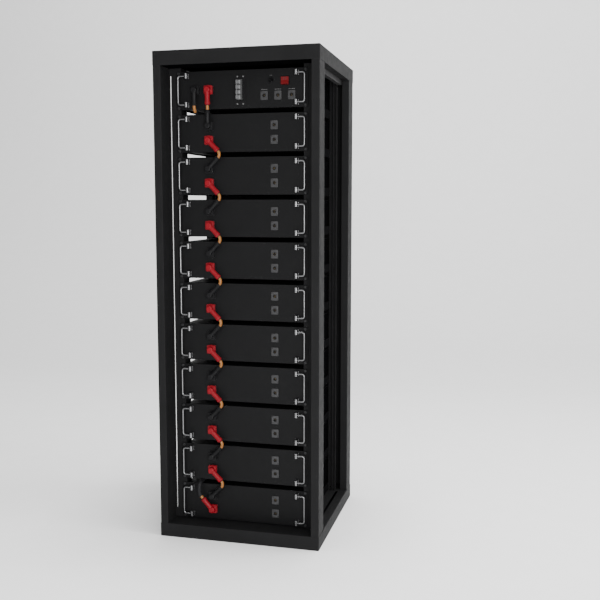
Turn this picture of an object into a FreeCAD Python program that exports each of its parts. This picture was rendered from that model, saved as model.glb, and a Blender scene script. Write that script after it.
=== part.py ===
"""Open steel rack cabinet with a control box and ten battery modules, in millimetres.

The origin is on the floor at the middle of the cabinet, +Z up, +X to the right as seen
from the front, and the front faces -Y.
"""

import FreeCAD, Part
import os
from math import cos, pi, radians, sin, tan

V = FreeCAD.Vector
PARTS_DIR = "parts"

# Cabinet
CABINET_WIDTH = 600.0
CABINET_DEPTH = 600.0
CABINET_HEIGHT = 1750.0
PLINTH_HEIGHT = 50.0
COVER_HEIGHT = 50.0
SHEET = 2.5
POST_WIDTH = 30.0
POST_DEPTH = 80.0
POST_INSET = 1.0
POST_CORNER = 2.5
BACK_PANEL_INSET = 1.0
SLAB_CORNER = 3.0
SLAB_EDGE = 1.5
FLOOR_SLOT_X = 257.0
FLOOR_SLOT_WIDTH = 10.5
FLOOR_SLOT_HALF_LENGTH = 200.0
FRONT = -CABINET_DEPTH / 2
FRAME_BOTTOM = PLINTH_HEIGHT
FRAME_TOP = CABINET_HEIGHT - COVER_HEIGHT

# 19-inch rails: the opening between them and the plane that the panels bolt to
RAIL_OPENING = 450.0
RAIL_FACE_WIDTH = 60.0
RAIL_FLANGE_DEPTH = 55.0
RAIL_SLOT_X = 262.6
RAIL_SLOT_WIDTH = 3.1
RAIL_SLOT_BOTTOM = FRAME_BOTTOM + 34.0
RAIL_SLOT_TOP = FRAME_TOP - 26.0
RAIL_FRONT = FRONT + POST_DEPTH
REAR_RAIL_FRONT = -RAIL_FRONT - SHEET
REAR_FACE_WIDTH = 29.0
REAR_FLANGE_DEPTH = 10.0
REAR_RIB_X = 240.0
REAR_RIB_DEPTH = 15.0
REAR_LIP_DEPTH = 12.5
BEND_RADIUS = 1.2
MEMBER_HEIGHT = 18.0
MEMBER_OUTER_X = 270.0

# Rack units, numbered from 0 at the top: unit 0 is the control box
UNIT_COUNT = 11
UNIT_PITCH = 150.0
TOP_UNIT_BOTTOM = 1553.5
PANEL_WIDTH = 482.6
PANEL_HEIGHT = 132.5
PANEL_THICKNESS = 2.5
PANEL_FRONT = RAIL_FRONT - PANEL_THICKNESS
PANEL_MIDDLE = PANEL_HEIGHT / 2
CASE_HALF_WIDTH = 220.0
CASE_SHEET = 1.5
CASE_BOTTOM = 0.5
CASE_TOP = 132.0
CASE_BACK = RAIL_FRONT + 425.0
CASE_CORNER = 1.2
RACK_SCREW_X = 232.5
RACK_SCREW_OFFSET = 60.3
RACK_SCREW_RADIUS = 2.95
RACK_HOLE_RADIUS = 3.0
EAR_SLOT_WIDTH = 9.0
EAR_SLOT_HEIGHT = 6.6
EAR_SLOT_CORNER = 3.2
RUNNER_SHEET = 2.0
RUNNER_SEAT = 22.0
RUNNER_WALL = 30.0

# Folding handles: the pivots of one handle are a spacing apart in height
PIVOT_X = 201.0
PIVOT_Y = PANEL_FRONT - 12.0
PIVOT_SPACING = 100.0
BAIL_REACH = 30.0
BAIL_RADIUS = 3.0
BAIL_CORNER = 8.0
KNUCKLE_RADIUS = 6.0
KNUCKLE_HEIGHT = 10.0
EAR_GAP = 0.3
EAR_THICKNESS = 3.2
HINGE_PIN_RADIUS = 2.0
HINGE_CLEARANCE = 0.05

# Power connectors
SOCKET_X = -118.5
CONTROL_NEGATIVE_X = -168.0
SOCKET_OFFSET = 25.0
SOCKET_FLANGE = 32.0
SOCKET_FLANGE_THICKNESS = 3.0
SOCKET_BARREL_RADIUS = 11.0
SOCKET_BARREL_LENGTH = 24.0
SPIGOT_RADIUS = 9.0
SPIGOT_LENGTH = 8.0
CONTACT_RADIUS = 3.0
CONTACT_FRONT_LENGTH = 14.0
CONTACT_REAR_LENGTH = 32.0
PLUG_BACK = PANEL_FRONT - SOCKET_FLANGE_THICKNESS
PLUG_SIDE = 31.0
PLUG_CORNER = 4.0
PLUG_BASE_DEPTH = 11.0
ELBOW_RADIUS = 11.5
ELBOW_DEPTH = 26.5
ELBOW_ROUNDING = 5.0
PLUG_CLEARANCE = 0.2
TAIL_RADIUS = 9.0
TAIL_LENGTH = 44.0
GLAND_RADIUS = 9.8
GLAND_END = 50.0
TAIL_END = 53.0
TAIL_TIP_RADIUS = 6.8
LEAD_Y = PANEL_FRONT - 19.5
JUMPER_ANGLE = 46.0
LEAD_RADIUS = 5.5
JUMPER_BEND = 16.5

# Return lead: an orange end at each plug and a sleeved stretch between them
RETURN_PLUG_ANGLE = 131.5
SLEEVE_RADIUS = 6.5
SLEEVE_REST = 0.25
ENTRY_BEND = 20.0
ENTRY_ORANGE_ANGLE = 60.0
REAR_BEND = 60.0
RETURN_LEAD_Y = 288.0
LOWER_ORANGE_RUN = 14.0
KNEE_FILL = 0.98
CLIP_HEIGHTS = (420.0, 720.0, 1020.0, 1320.0)
CLIP_WIDTH = 12.0
CLIP_WALL = 1.4
CLIP_CLEARANCE = 0.1
CLIP_FOOT_REACH = 12.0
CLIP_FOOT_THICKNESS = 1.6

# Data ports
PORT_X = 120.0
CONTROL_PORT_XS = (84.0, 133.5, 183.0)
CONTROL_PORT_Z = 42.0
PORT_WIDTH = 26.0
PORT_HEIGHT = 31.0
PORT_FLANGE = 2.5
PORT_BORE_RADIUS = 6.0
PORT_BORE_DEPTH = 5.0
PORT_BARREL_RADIUS = 9.0
PORT_BARREL_LENGTH = 16.0

# Control box switches
BUTTON_X = 108.0
BUTTON_Z = 93.0
BUTTON_RADIUS = 8.0
BUTTON_TRAVEL = 2.5
BUTTON_PROUD = 5.0
BUTTON_RING_RADIUS = 11.0
BUTTON_RING_PROUD = 2.0
BUTTON_BARREL_RADIUS = 9.8
ROCKER_X = 159.0
ROCKER_Z = 90.0
ROCKER_SIDE = 27.0
ROCKER_TILT = 8.0
ROCKER_FRAME_SIDE = 33.0
ROCKER_PIVOT_Y = PANEL_FRONT + 1.5
ROCKER_GAP = 0.5
ROCKER_PIN_RADIUS = 1.5
BREAKER_X = -2.5
BREAKER_Z = 62.6
POLE_PITCH = 17.5
POLE_COUNT = 4
POLE_STACK_HALF = POLE_PITCH * POLE_COUNT / 2
BREAKER_NOSE_WIDTH = 20.5
BREAKER_NOSE_PROUD = 18.0
BREAKER_BODY_WIDTH = 84.0
BREAKER_BODY_DEPTH = 48.0
LEVER_HUB_RADIUS = 7.0
LEVER_GAP = 0.4
LEVER_AXIS_Y = PANEL_FRONT - 14.0
LEVER_AXLE_RADIUS = 2.0
LEVER_LENGTH = 15.0
LEVER_FINGER_HALF = 2.2
LEVER_REST_ANGLE = 35.0
BEZEL_WIDTH = 40.0
BEZEL_HEIGHT = 105.0
BEZEL_THICKNESS = 1.5
BEZEL_WINDOW_GAP = 0.5
BEZEL_SCREW_X = 10.5
BEZEL_SCREW_Z = 47.0
BEZEL_SCREW_RADIUS = 1.5
BEZEL_HOLE_RADIUS = 1.6

# Cells inside a module: two stacks of eight
CELL_WIDTH = 160.0
CELL_THICKNESS = 48.0
CELL_HEIGHT = 117.0
CELL_FLOOR = 3.0
CELLS_PER_STACK = 8
CELLS_FRONT = -186.0
STACK_GAP = 8.0
LINK_THICKNESS = 2.0
LINK_WIDTH = 20.0
CROSS_LINK_HALF = 22.0
BOARD_THICKNESS = 1.6
MONITOR_BOARD_X = 190.0


def block(x0, x1, y0, y1, z0, z1):
    """Plain block between six planes."""
    return Part.makeBox(x1 - x0, y1 - y0, z1 - z0, V(x0, y0, z0))


def rod(radius, start, end):
    """Round bar between two points."""
    run = end.sub(start)
    return Part.makeCylinder(radius, run.Length, start, run)


def edges_along(shape, axis):
    """Straight edges of a shape that run along a row axis."""
    found = []
    for edge in shape.Edges:
        run = edge.Vertexes[-1].Point.sub(edge.Vertexes[0].Point)
        if run.Length > 0 and abs(abs(run.dot(axis)) - run.Length) < 1e-6:
            found.append(edge)
    return found


def rounded_block(x0, x1, y0, y1, z0, z1, axis, radius):
    """Block with the four edges along one axis rounded."""
    plain = block(x0, x1, y0, y1, z0, z1)
    return plain.makeFillet(radius, edges_along(plain, axis))


def face_pad(x, z, width, height, y_front, y_back, corner):
    """Plate or block that stands on a front panel, rounded as seen from the front."""
    return rounded_block(x - width / 2, x + width / 2, y_front, y_back,
                         z - height / 2, z + height / 2, V(0, 1, 0), corner)


def front_rim(shape):
    """Edges in the frontmost plane of a shape that faces -Y."""
    y_front = shape.BoundBox.YMin
    return [edge for edge in shape.Edges if edge.BoundBox.YMax < y_front + 1e-6]


def bevel_front(shape, size):
    """A shape with its front rim chamfered."""
    return shape.makeChamfer(size, front_rim(shape))


def round_front(shape, radius):
    """A shape with its front rim filleted."""
    return shape.makeFillet(radius, front_rim(shape))


def fuse_all(shapes):
    """One solid from touching shapes."""
    joined = shapes[0].multiFuse(shapes[1:])
    return joined.removeSplitter()


def cut_all(shape, tools):
    """A shape with every tool taken out of it."""
    return shape.cut(Part.makeCompound(tools))


def mirror_x(shape):
    """The same shape on the other side of the cabinet."""
    return shape.mirror(V(0, 0, 0), V(1, 0, 0))


def mirror_y(shape):
    """The same shape at the other end of the cabinet."""
    return shape.mirror(V(0, 0, 0), V(0, 1, 0))


def write_node(name, shapes):
    """One STEP file for a node; several shapes stay separate solids."""
    solids = [solid for shape in shapes for solid in shape.Solids]
    whole = solids[0] if len(solids) == 1 else Part.makeCompound(solids)
    whole.exportStep(os.path.join(PARTS_DIR, name + ".step"))


def unit_bottom(unit):
    """Height of the lower edge of a unit's panel."""
    return TOP_UNIT_BOTTOM - UNIT_PITCH * unit


# Cabinet -----------------------------------------------------------------------------

def hollow_slab(z0, z1):
    """Closed sheet-metal box over the cabinet's whole plan, with softly bent edges."""
    half_x = CABINET_WIDTH / 2
    half_y = CABINET_DEPTH / 2
    outer = rounded_block(-half_x, half_x, -half_y, half_y, z0, z1, V(0, 0, 1),
                          SLAB_CORNER)
    rims = [edge for edge in outer.Edges
            if edge.BoundBox.ZLength < 1e-6]
    outer = outer.makeFillet(SLAB_EDGE, rims)
    inner = block(-half_x + SHEET, half_x - SHEET, -half_y + SHEET, half_y - SHEET,
                  z0 + SHEET, z1 - SHEET)
    return outer.cut(inner)


def base_plinth():
    """Base with a long slot in its top sheet beside each pair of rails."""
    slot = block(FLOOR_SLOT_X, FLOOR_SLOT_X + FLOOR_SLOT_WIDTH,
                 -FLOOR_SLOT_HALF_LENGTH, FLOOR_SLOT_HALF_LENGTH,
                 PLINTH_HEIGHT - SHEET - 1, PLINTH_HEIGHT + 1)
    return cut_all(hollow_slab(0.0, PLINTH_HEIGHT), [slot, mirror_x(slot)])


def front_left_post():
    """Rectangular steel tube at one corner."""
    x0 = -CABINET_WIDTH / 2 + POST_INSET
    x1 = -CABINET_WIDTH / 2 + POST_WIDTH
    y0 = FRONT + POST_INSET
    y1 = FRONT + POST_DEPTH
    outer = rounded_block(x0, x1, y0, y1, FRAME_BOTTOM, FRAME_TOP,
                          V(0, 0, 1), POST_CORNER)
    inner = block(x0 + SHEET, x1 - SHEET, y0 + SHEET, y1 - SHEET,
                  FRAME_BOTTOM, FRAME_TOP)
    return outer.cut(inner)


def write_posts():
    front_left = front_left_post()
    front_right = mirror_x(front_left)
    write_node("post_front_left", [front_left])
    write_node("post_front_right", [front_right])
    write_node("post_rear_left", [mirror_y(front_left)])
    write_node("post_rear_right", [mirror_y(front_right)])


def rack_screw_heights():
    """Heights of the two rack screws on one side of every unit."""
    heights = []
    for unit in range(UNIT_COUNT):
        middle = unit_bottom(unit) + PANEL_MIDDLE
        heights += [middle - RACK_SCREW_OFFSET, middle + RACK_SCREW_OFFSET]
    return heights


def front_right_rail():
    """Folded rail whose face reaches behind the post, with a long slot beside the post."""
    inner_x = RAIL_OPENING / 2
    face = block(inner_x, inner_x + RAIL_FACE_WIDTH, RAIL_FRONT, RAIL_FRONT + SHEET,
                 FRAME_BOTTOM, FRAME_TOP)
    flange = block(inner_x, inner_x + SHEET, RAIL_FRONT, RAIL_FRONT + RAIL_FLANGE_DEPTH,
                   FRAME_BOTTOM, FRAME_TOP)
    rail = round_rail_bend(fuse_all([face, flange]), RAIL_FRONT)
    slot = block(RAIL_SLOT_X, RAIL_SLOT_X + RAIL_SLOT_WIDTH, RAIL_FRONT - 1,
                 RAIL_FRONT + SHEET + 1, RAIL_SLOT_BOTTOM, RAIL_SLOT_TOP)
    return cut_all(rail, [slot] + rail_holes(RAIL_FRONT))


def rear_right_rail():
    """Folded rail with a short inner flange, a middle rib and an outer lip, all forward."""
    inner_x = RAIL_OPENING / 2
    outer_x = inner_x + REAR_FACE_WIDTH
    y = REAR_RAIL_FRONT
    pieces = [block(inner_x, outer_x, y, y + SHEET, FRAME_BOTTOM, FRAME_TOP)]
    for x, depth in ((inner_x, REAR_FLANGE_DEPTH), (REAR_RIB_X, REAR_RIB_DEPTH),
                     (outer_x - SHEET, REAR_LIP_DEPTH)):
        pieces.append(block(x, x + SHEET, y - depth, y, FRAME_BOTTOM, FRAME_TOP))
    return cut_all(fuse_all(pieces), rail_holes(y))


def round_rail_bend(rail, y):
    """A rail with the upright edges in one plane rounded like a sheet's bend."""
    bends = [edge for edge in edges_along(rail, V(0, 0, 1))
             if edge.BoundBox.YMax < y + 1e-6 and edge.BoundBox.XMax < RAIL_SLOT_X]
    return rail.makeFillet(BEND_RADIUS, bends)


def rail_holes(y):
    """Tools for the screw holes of a right-hand rail."""
    return [rod(RACK_HOLE_RADIUS, V(RACK_SCREW_X, y - 1, z),
                V(RACK_SCREW_X, y + SHEET + 1, z)) for z in rack_screw_heights()]


def write_rails():
    front_right = front_right_rail()
    rear_right = rear_right_rail()
    write_node("rack_rails", [mirror_x(front_right), front_right, mirror_x(rear_right),
                              rear_right])


def write_depth_members():
    """Bars under the top cover that join the front rails to the rear rails."""
    inner_x = RAIL_OPENING / 2 + REAR_FACE_WIDTH
    bar = block(inner_x, MEMBER_OUTER_X, RAIL_FRONT + SHEET, REAR_RAIL_FRONT,
                FRAME_TOP - MEMBER_HEIGHT, FRAME_TOP)
    write_node("depth_members", [bar, mirror_x(bar)])


def write_back_panel():
    """Plain sheet between the rear posts, held between the base and the cover."""
    half = CABINET_WIDTH / 2 - POST_WIDTH - 0.5
    y1 = CABINET_DEPTH / 2 - BACK_PANEL_INSET
    write_node("back_panel", [block(-half, half, y1 - SHEET, y1, FRAME_BOTTOM,
                                    FRAME_TOP)])


def write_runners():
    """Angles that carry the units, one at each side of each unit."""
    y_end = REAR_RAIL_FRONT
    wall_x = RAIL_OPENING / 2
    runners = []
    for unit in range(UNIT_COUNT):
        z = unit_bottom(unit) + CASE_BOTTOM
        seat = block(wall_x - RUNNER_SEAT, wall_x, -y_end, y_end, z - RUNNER_SHEET, z)
        wall = block(wall_x - RUNNER_SHEET, wall_x, -y_end, y_end,
                     z - RUNNER_SHEET, z + RUNNER_WALL)
        angle = fuse_all([seat, wall])
        runners += [angle, mirror_x(angle)]
    write_node("support_runners", runners)


# Rack units --------------------------------------------------------------------------

def module_sockets():
    """Places of a battery module's negative and positive sockets on its panel."""
    return [(SOCKET_X, PANEL_MIDDLE + SOCKET_OFFSET),
            (SOCKET_X, PANEL_MIDDLE - SOCKET_OFFSET)]


def control_sockets():
    """Places of the control box's negative and positive sockets on its panel."""
    return [(CONTROL_NEGATIVE_X, PANEL_MIDDLE), (SOCKET_X, PANEL_MIDDLE)]


def unit_sockets(unit):
    return control_sockets() if unit == 0 else module_sockets()


def unit_ports(unit):
    """Places of a unit's data ports on its panel."""
    if unit == 0:
        return [(x, CONTROL_PORT_Z) for x in CONTROL_PORT_XS]
    return [(PORT_X, PANEL_MIDDLE + SOCKET_OFFSET),
            (PORT_X, PANEL_MIDDLE - SOCKET_OFFSET)]


def through_panel(radius, x, z):
    """Tool for a round hole in a front panel."""
    return rod(radius, V(x, PANEL_FRONT - 1, z), V(x, RAIL_FRONT + 1, z))


def ear_slot(x, z):
    """Tool for the oblong hole of a rack screw."""
    return face_pad(x, z, EAR_SLOT_WIDTH, EAR_SLOT_HEIGHT, PANEL_FRONT - 1,
                    RAIL_FRONT + 1, EAR_SLOT_CORNER)


def unit_panel(unit):
    """Front panel with rack ears; the control box's has room for its switches."""
    bottom = unit_bottom(unit)
    panel = face_pad(0, bottom + PANEL_MIDDLE, PANEL_WIDTH, PANEL_HEIGHT,
                     PANEL_FRONT, RAIL_FRONT, 2.0)
    panel = bevel_front(panel, 0.4)
    tools = [ear_slot(side * RACK_SCREW_X, bottom + PANEL_MIDDLE + offset)
             for side in (-1, 1)
             for offset in (-RACK_SCREW_OFFSET, RACK_SCREW_OFFSET)]
    tools += [through_panel(SOCKET_BARREL_RADIUS + 0.2, x, bottom + z)
              for x, z in unit_sockets(unit)]
    tools += [through_panel(PORT_BARREL_RADIUS + 0.2, x, bottom + z)
              for x, z in unit_ports(unit)]
    if unit == 0:
        tools += control_cutouts(bottom)
    return cut_all(panel, tools)


def control_cutouts(bottom):
    """Tools for the holes of the push button, the rocker and the breaker."""
    button = through_panel(BUTTON_BARREL_RADIUS + 0.2, BUTTON_X, bottom + BUTTON_Z)
    rocker_half = ROCKER_FRAME_SIDE / 2 - 1.0
    rocker = block(ROCKER_X - rocker_half, ROCKER_X + rocker_half,
                   PANEL_FRONT - 1, RAIL_FRONT + 1,
                   bottom + ROCKER_Z - rocker_half, bottom + ROCKER_Z + rocker_half)
    breaker_z = bottom + BREAKER_Z
    screws = [through_panel(BEZEL_HOLE_RADIUS, x, z) for x, z in bezel_screw_places(breaker_z)]
    return [button, rocker, breaker_window(breaker_z, PANEL_FRONT - 1, RAIL_FRONT + 1)] + screws


def breaker_window(z, y_front, y_back):
    """Tool for the opening that the breaker's nose stands in."""
    half_x = BREAKER_NOSE_WIDTH / 2 + BEZEL_WINDOW_GAP
    half_z = POLE_STACK_HALF + BEZEL_WINDOW_GAP
    return block(BREAKER_X - half_x, BREAKER_X + half_x, y_front, y_back,
                 z - half_z, z + half_z)


def bezel_screw_places(z):
    """X and Z of the four screws round the breaker."""
    return [(BREAKER_X + side * BEZEL_SCREW_X, z + dz)
            for side in (-1, 1) for dz in (-BEZEL_SCREW_Z, BEZEL_SCREW_Z)]


def unit_case(unit):
    """Closed sheet-metal box behind the panel."""
    bottom = unit_bottom(unit)
    outer = block(-CASE_HALF_WIDTH, CASE_HALF_WIDTH, RAIL_FRONT, CASE_BACK,
                  bottom + CASE_BOTTOM, bottom + CASE_TOP)
    outer = outer.makeFillet(CASE_CORNER, edges_along(outer, V(0, 1, 0)))
    inner = block(-CASE_HALF_WIDTH + CASE_SHEET, CASE_HALF_WIDTH - CASE_SHEET,
                  RAIL_FRONT - 1, CASE_BACK - CASE_SHEET,
                  bottom + CASE_BOTTOM + CASE_SHEET, bottom + CASE_TOP - CASE_SHEET)
    return outer.cut(inner)


def write_units():
    write_node("control_box", [unit_panel(0), unit_case(0)])
    for unit in range(1, UNIT_COUNT):
        write_node(f"battery_module_{unit:02d}", [unit_panel(unit), unit_case(unit)])


# Handles -----------------------------------------------------------------------------

def bail_path(z):
    """Centre line of a right-hand bail, from its lower pivot to its upper one."""
    x0 = PIVOT_X
    x1 = PIVOT_X + BAIL_REACH
    low = z - PIVOT_SPACING / 2
    high = z + PIVOT_SPACING / 2
    diagonal = BAIL_CORNER * (1 - cos(radians(45)))
    y = PIVOT_Y
    lower_arc = Part.Arc(V(x1 - BAIL_CORNER, y, low), V(x1 - diagonal, y, low + diagonal),
                         V(x1, y, low + BAIL_CORNER))
    upper_arc = Part.Arc(V(x1, y, high - BAIL_CORNER), V(x1 - diagonal, y, high - diagonal),
                         V(x1 - BAIL_CORNER, y, high))
    pieces = [Part.LineSegment(V(x0, y, low), V(x1 - BAIL_CORNER, y, low)),
              lower_arc,
              Part.LineSegment(V(x1, y, low + BAIL_CORNER), V(x1, y, high - BAIL_CORNER)),
              upper_arc,
              Part.LineSegment(V(x1 - BAIL_CORNER, y, high), V(x0, y, high))]
    return Part.Wire([piece.toShape() for piece in pieces])


def tube_along(path, start, direction, radius):
    """Round solid bar swept along a wire of straight runs and tangent arcs."""
    ring = Part.Wire([Part.makeCircle(radius, start, direction)])
    return path.makePipeShell([ring], True, False)


def right_handle(z):
    """Bent-rod bail with a bored knuckle at each end."""
    low = z - PIVOT_SPACING / 2
    bail = tube_along(bail_path(z), V(PIVOT_X, PIVOT_Y, low), V(1, 0, 0), BAIL_RADIUS)
    pieces = [bail]
    bores = []
    for centre in (low, low + PIVOT_SPACING):
        bottom = V(PIVOT_X, PIVOT_Y, centre - KNUCKLE_HEIGHT / 2)
        top = V(PIVOT_X, PIVOT_Y, centre + KNUCKLE_HEIGHT / 2)
        knuckle = rod(KNUCKLE_RADIUS, bottom, top)
        rims = [edge for edge in knuckle.Edges if edge.BoundBox.ZLength < 1e-6]
        pieces.append(knuckle.makeChamfer(0.6, rims))
        bores.append(rod(HINGE_PIN_RADIUS + HINGE_CLEARANCE, bottom - V(0, 0, 1),
                         top + V(0, 0, 1)))
    return cut_all(fuse_all(pieces), bores)


def handle_bracket(z):
    """Right-hand bracket: a foot on the panel and two ears that hold the hinge pin."""
    foot = face_pad(PIVOT_X, z, 2 * KNUCKLE_RADIUS + 2, KNUCKLE_HEIGHT + 2 * EAR_GAP
                    + 2 * EAR_THICKNESS, PANEL_FRONT - 2.0, PANEL_FRONT, 1.0)
    pieces = [foot]
    for side in (-1, 1):
        inner = z + side * (KNUCKLE_HEIGHT / 2 + EAR_GAP)
        outer = inner + side * EAR_THICKNESS
        z0 = min(inner, outer)
        ear = block(PIVOT_X - KNUCKLE_RADIUS, PIVOT_X + KNUCKLE_RADIUS,
                    PIVOT_Y, PANEL_FRONT - 2.0, z0, z0 + EAR_THICKNESS)
        nose = rod(KNUCKLE_RADIUS, V(PIVOT_X, PIVOT_Y, z0),
                   V(PIVOT_X, PIVOT_Y, z0 + EAR_THICKNESS))
        pieces += [ear, nose]
    pin_hole = rod(HINGE_PIN_RADIUS, V(PIVOT_X, PIVOT_Y, z - 20),
                   V(PIVOT_X, PIVOT_Y, z + 20))
    return fuse_all(pieces).cut(pin_hole)


def hinge_pin(z):
    """Pin through both ears of a right-hand bracket."""
    half = KNUCKLE_HEIGHT / 2 + EAR_GAP + EAR_THICKNESS
    return rod(HINGE_PIN_RADIUS, V(PIVOT_X, PIVOT_Y, z - half),
               V(PIVOT_X, PIVOT_Y, z + half))


def pivot_heights(unit):
    middle = unit_bottom(unit) + PANEL_MIDDLE
    return [middle - PIVOT_SPACING / 2, middle + PIVOT_SPACING / 2]


def write_handles():
    brackets = []
    for unit in range(UNIT_COUNT):
        middle = unit_bottom(unit) + PANEL_MIDDLE
        right = right_handle(middle)
        write_node(f"handle_{unit + 1:02d}_right", [right])
        write_node(f"handle_{unit + 1:02d}_left", [mirror_x(right)])
        for z in pivot_heights(unit):
            bracket = handle_bracket(z)
            brackets += [bracket, mirror_x(bracket)]
    write_node("handle_brackets", brackets)


# Power connectors and leads ----------------------------------------------------------

def socket(x, z):
    """Panel socket: square flange, rear barrel, front spigot and the contact's bore."""
    flange = face_pad(x, z, SOCKET_FLANGE, SOCKET_FLANGE, PLUG_BACK, PANEL_FRONT, 3.0)
    barrel = rod(SOCKET_BARREL_RADIUS, V(x, PANEL_FRONT, z),
                 V(x, PANEL_FRONT + SOCKET_BARREL_LENGTH, z))
    spigot = rod(SPIGOT_RADIUS, V(x, PLUG_BACK - SPIGOT_LENGTH, z), V(x, PLUG_BACK, z))
    bore = rod(CONTACT_RADIUS, V(x, PLUG_BACK - SPIGOT_LENGTH - 1, z),
               V(x, PANEL_FRONT + SOCKET_BARREL_LENGTH + 1, z))
    return fuse_all([flange, barrel, spigot]).cut(bore)


def contact_pin(x, z):
    """Copper pin that runs from inside the plug to inside the unit."""
    return rod(CONTACT_RADIUS, V(x, PLUG_BACK - CONTACT_FRONT_LENGTH, z),
               V(x, PLUG_BACK + CONTACT_REAR_LENGTH, z))


def tail_point(x, z, angle, distance):
    """Point on a plug's tail axis at a distance from the plug's own axis."""
    return V(x + distance * cos(radians(angle)), LEAD_Y,
             z + distance * sin(radians(angle)))


def plug(x, z, angle):
    """Right-angle plug whose tail points along an angle above +X."""
    base = bevel_front(face_pad(x, z, PLUG_SIDE, PLUG_SIDE, PLUG_BACK - PLUG_BASE_DEPTH,
                                PLUG_BACK, PLUG_CORNER), 1.5)
    elbow = rod(ELBOW_RADIUS, V(x, PLUG_BACK - ELBOW_DEPTH, z), V(x, PLUG_BACK - 1.0, z))
    elbow = round_front(elbow, ELBOW_ROUNDING)
    tail = rod(TAIL_RADIUS, tail_point(x, z, angle, 0),
               tail_point(x, z, angle, TAIL_LENGTH))
    gland = rod(GLAND_RADIUS, tail_point(x, z, angle, TAIL_LENGTH),
                tail_point(x, z, angle, GLAND_END))
    tip_start = tail_point(x, z, angle, GLAND_END)
    tip_run = tail_point(x, z, angle, TAIL_END).sub(tip_start)
    tip = Part.makeCone(TAIL_RADIUS, TAIL_TIP_RADIUS, tip_run.Length, tip_start, tip_run)
    body = fuse_all([base, elbow, tail, gland, tip])
    cavity_end = PLUG_BACK - SPIGOT_LENGTH - PLUG_CLEARANCE
    cavity = rod(SPIGOT_RADIUS + PLUG_CLEARANCE, V(x, cavity_end, z), V(x, PLUG_BACK, z))
    bore = rod(CONTACT_RADIUS, V(x, PLUG_BACK - CONTACT_FRONT_LENGTH, z),
               V(x, PLUG_BACK, z))
    return body.cut(cavity).cut(bore)


def positive_plug_angle(unit):
    """The way each positive plug's tail points, in degrees above +X."""
    if unit == 0:
        return -90.0
    if unit == UNIT_COUNT - 1:
        return RETURN_PLUG_ANGLE
    return -JUMPER_ANGLE


def negative_plug_angle(unit):
    """The way each negative plug's tail points, in degrees above +X."""
    if unit == 0:
        return -90.0
    if unit == 1:
        return 90.0
    return JUMPER_ANGLE


def socket_place(unit, positive):
    """X and Z of one socket's axis."""
    x, offset = unit_sockets(unit)[1 if positive else 0]
    return x, unit_bottom(unit) + offset


def write_connectors():
    sockets = []
    red = []
    black = []
    for unit in range(UNIT_COUNT):
        positive = socket_place(unit, True)
        negative = socket_place(unit, False)
        sockets += [socket(*positive), socket(*negative)]
        red.append(plug(*positive, positive_plug_angle(unit)))
        black.append(plug(*negative, negative_plug_angle(unit)))
    write_node("power_sockets", sockets)
    write_node("plugs_red", red)
    write_node("plugs_black", black)


def rounded_route(points, bends):
    """Wire through points, with a tangent arc of the given radius at each inner point."""
    pieces = []
    here = points[0]
    for index in range(1, len(points) - 1):
        corner = points[index]
        towards = corner.sub(points[index - 1]).normalize()
        away = points[index + 1].sub(corner).normalize()
        turn = towards.getAngle(away)
        tangent = bends[index - 1] * tan(turn / 2)
        start = corner.sub(towards * tangent)
        end = corner.add(away * tangent)
        inward = away.sub(towards).normalize()
        sagitta = bends[index - 1] * (1 / cos(turn / 2) - 1)
        if start.distanceToPoint(here) > 1e-6:
            pieces.append(Part.LineSegment(here, start).toShape())
        pieces.append(Part.Arc(start, corner.add(inward * sagitta), end).toShape())
        here = end
    if here.distanceToPoint(points[-1]) > 1e-6:
        pieces.append(Part.LineSegment(here, points[-1]).toShape())
    return Part.Wire(pieces)


def lead(points, bends, radius):
    """Round lead along a rounded route; prints its length beside its volume's length."""
    path = rounded_route(points, bends)
    start_run = points[1].sub(points[0])
    solid = tube_along(path, points[0], start_run, radius)
    by_volume = solid.Volume / (pi * radius * radius)
    print(f"lead length {path.Length:.1f} mm, by volume {by_volume:.1f} mm, radii {bends}")
    return solid


def jumper(unit):
    """Short lead from a unit's positive plug to the next unit's negative plug."""
    x, high = socket_place(unit, True)
    _, low = socket_place(unit + 1, False)
    start = tail_point(x, high, positive_plug_angle(unit), TAIL_END)
    end = tail_point(x, low, negative_plug_angle(unit + 1), TAIL_END)
    if unit == 0:
        return rod(LEAD_RADIUS, start, end)
    middle = (high + low) / 2
    corner = V(x + (high - low) / 2 / tan(radians(JUMPER_ANGLE)), LEAD_Y, middle)
    return lead([start, corner, end], [JUMPER_BEND], LEAD_RADIUS)


def resting_height(unit):
    """Height of the sleeved lead's centre where it lies on top of a unit."""
    return unit_bottom(unit) + PANEL_HEIGHT + SLEEVE_REST + SLEEVE_RADIUS


def entry_split():
    """Point and direction on the bend into the first gap where the orange end stops."""
    turned = radians(ENTRY_ORANGE_ANGLE)
    centre_y = LEAD_Y + ENTRY_BEND
    centre_z = resting_height(1) + ENTRY_BEND
    point = V(CONTROL_NEGATIVE_X, centre_y - ENTRY_BEND * cos(turned),
              centre_z - ENTRY_BEND * sin(turned))
    return point, V(0, sin(turned), -cos(turned))


def return_upper_end():
    """Orange end at the control box's negative plug, bent most of the way to the gap."""
    x, z = socket_place(0, False)
    start = tail_point(x, z, -90.0, TAIL_END)
    end, direction = entry_split()
    tangent = ENTRY_BEND * tan(radians(ENTRY_ORANGE_ANGLE) / 2)
    return lead([start, end - direction * tangent, end], [ENTRY_BEND], LEAD_RADIUS)


def return_lower_points():
    """Lower plug's tail end and the end of the orange stretch that leaves it."""
    x, z = socket_place(UNIT_COUNT - 1, True)
    start = tail_point(x, z, RETURN_PLUG_ANGLE, TAIL_END)
    end = tail_point(x, z, RETURN_PLUG_ANGLE, TAIL_END + LOWER_ORANGE_RUN)
    return start, end


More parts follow.
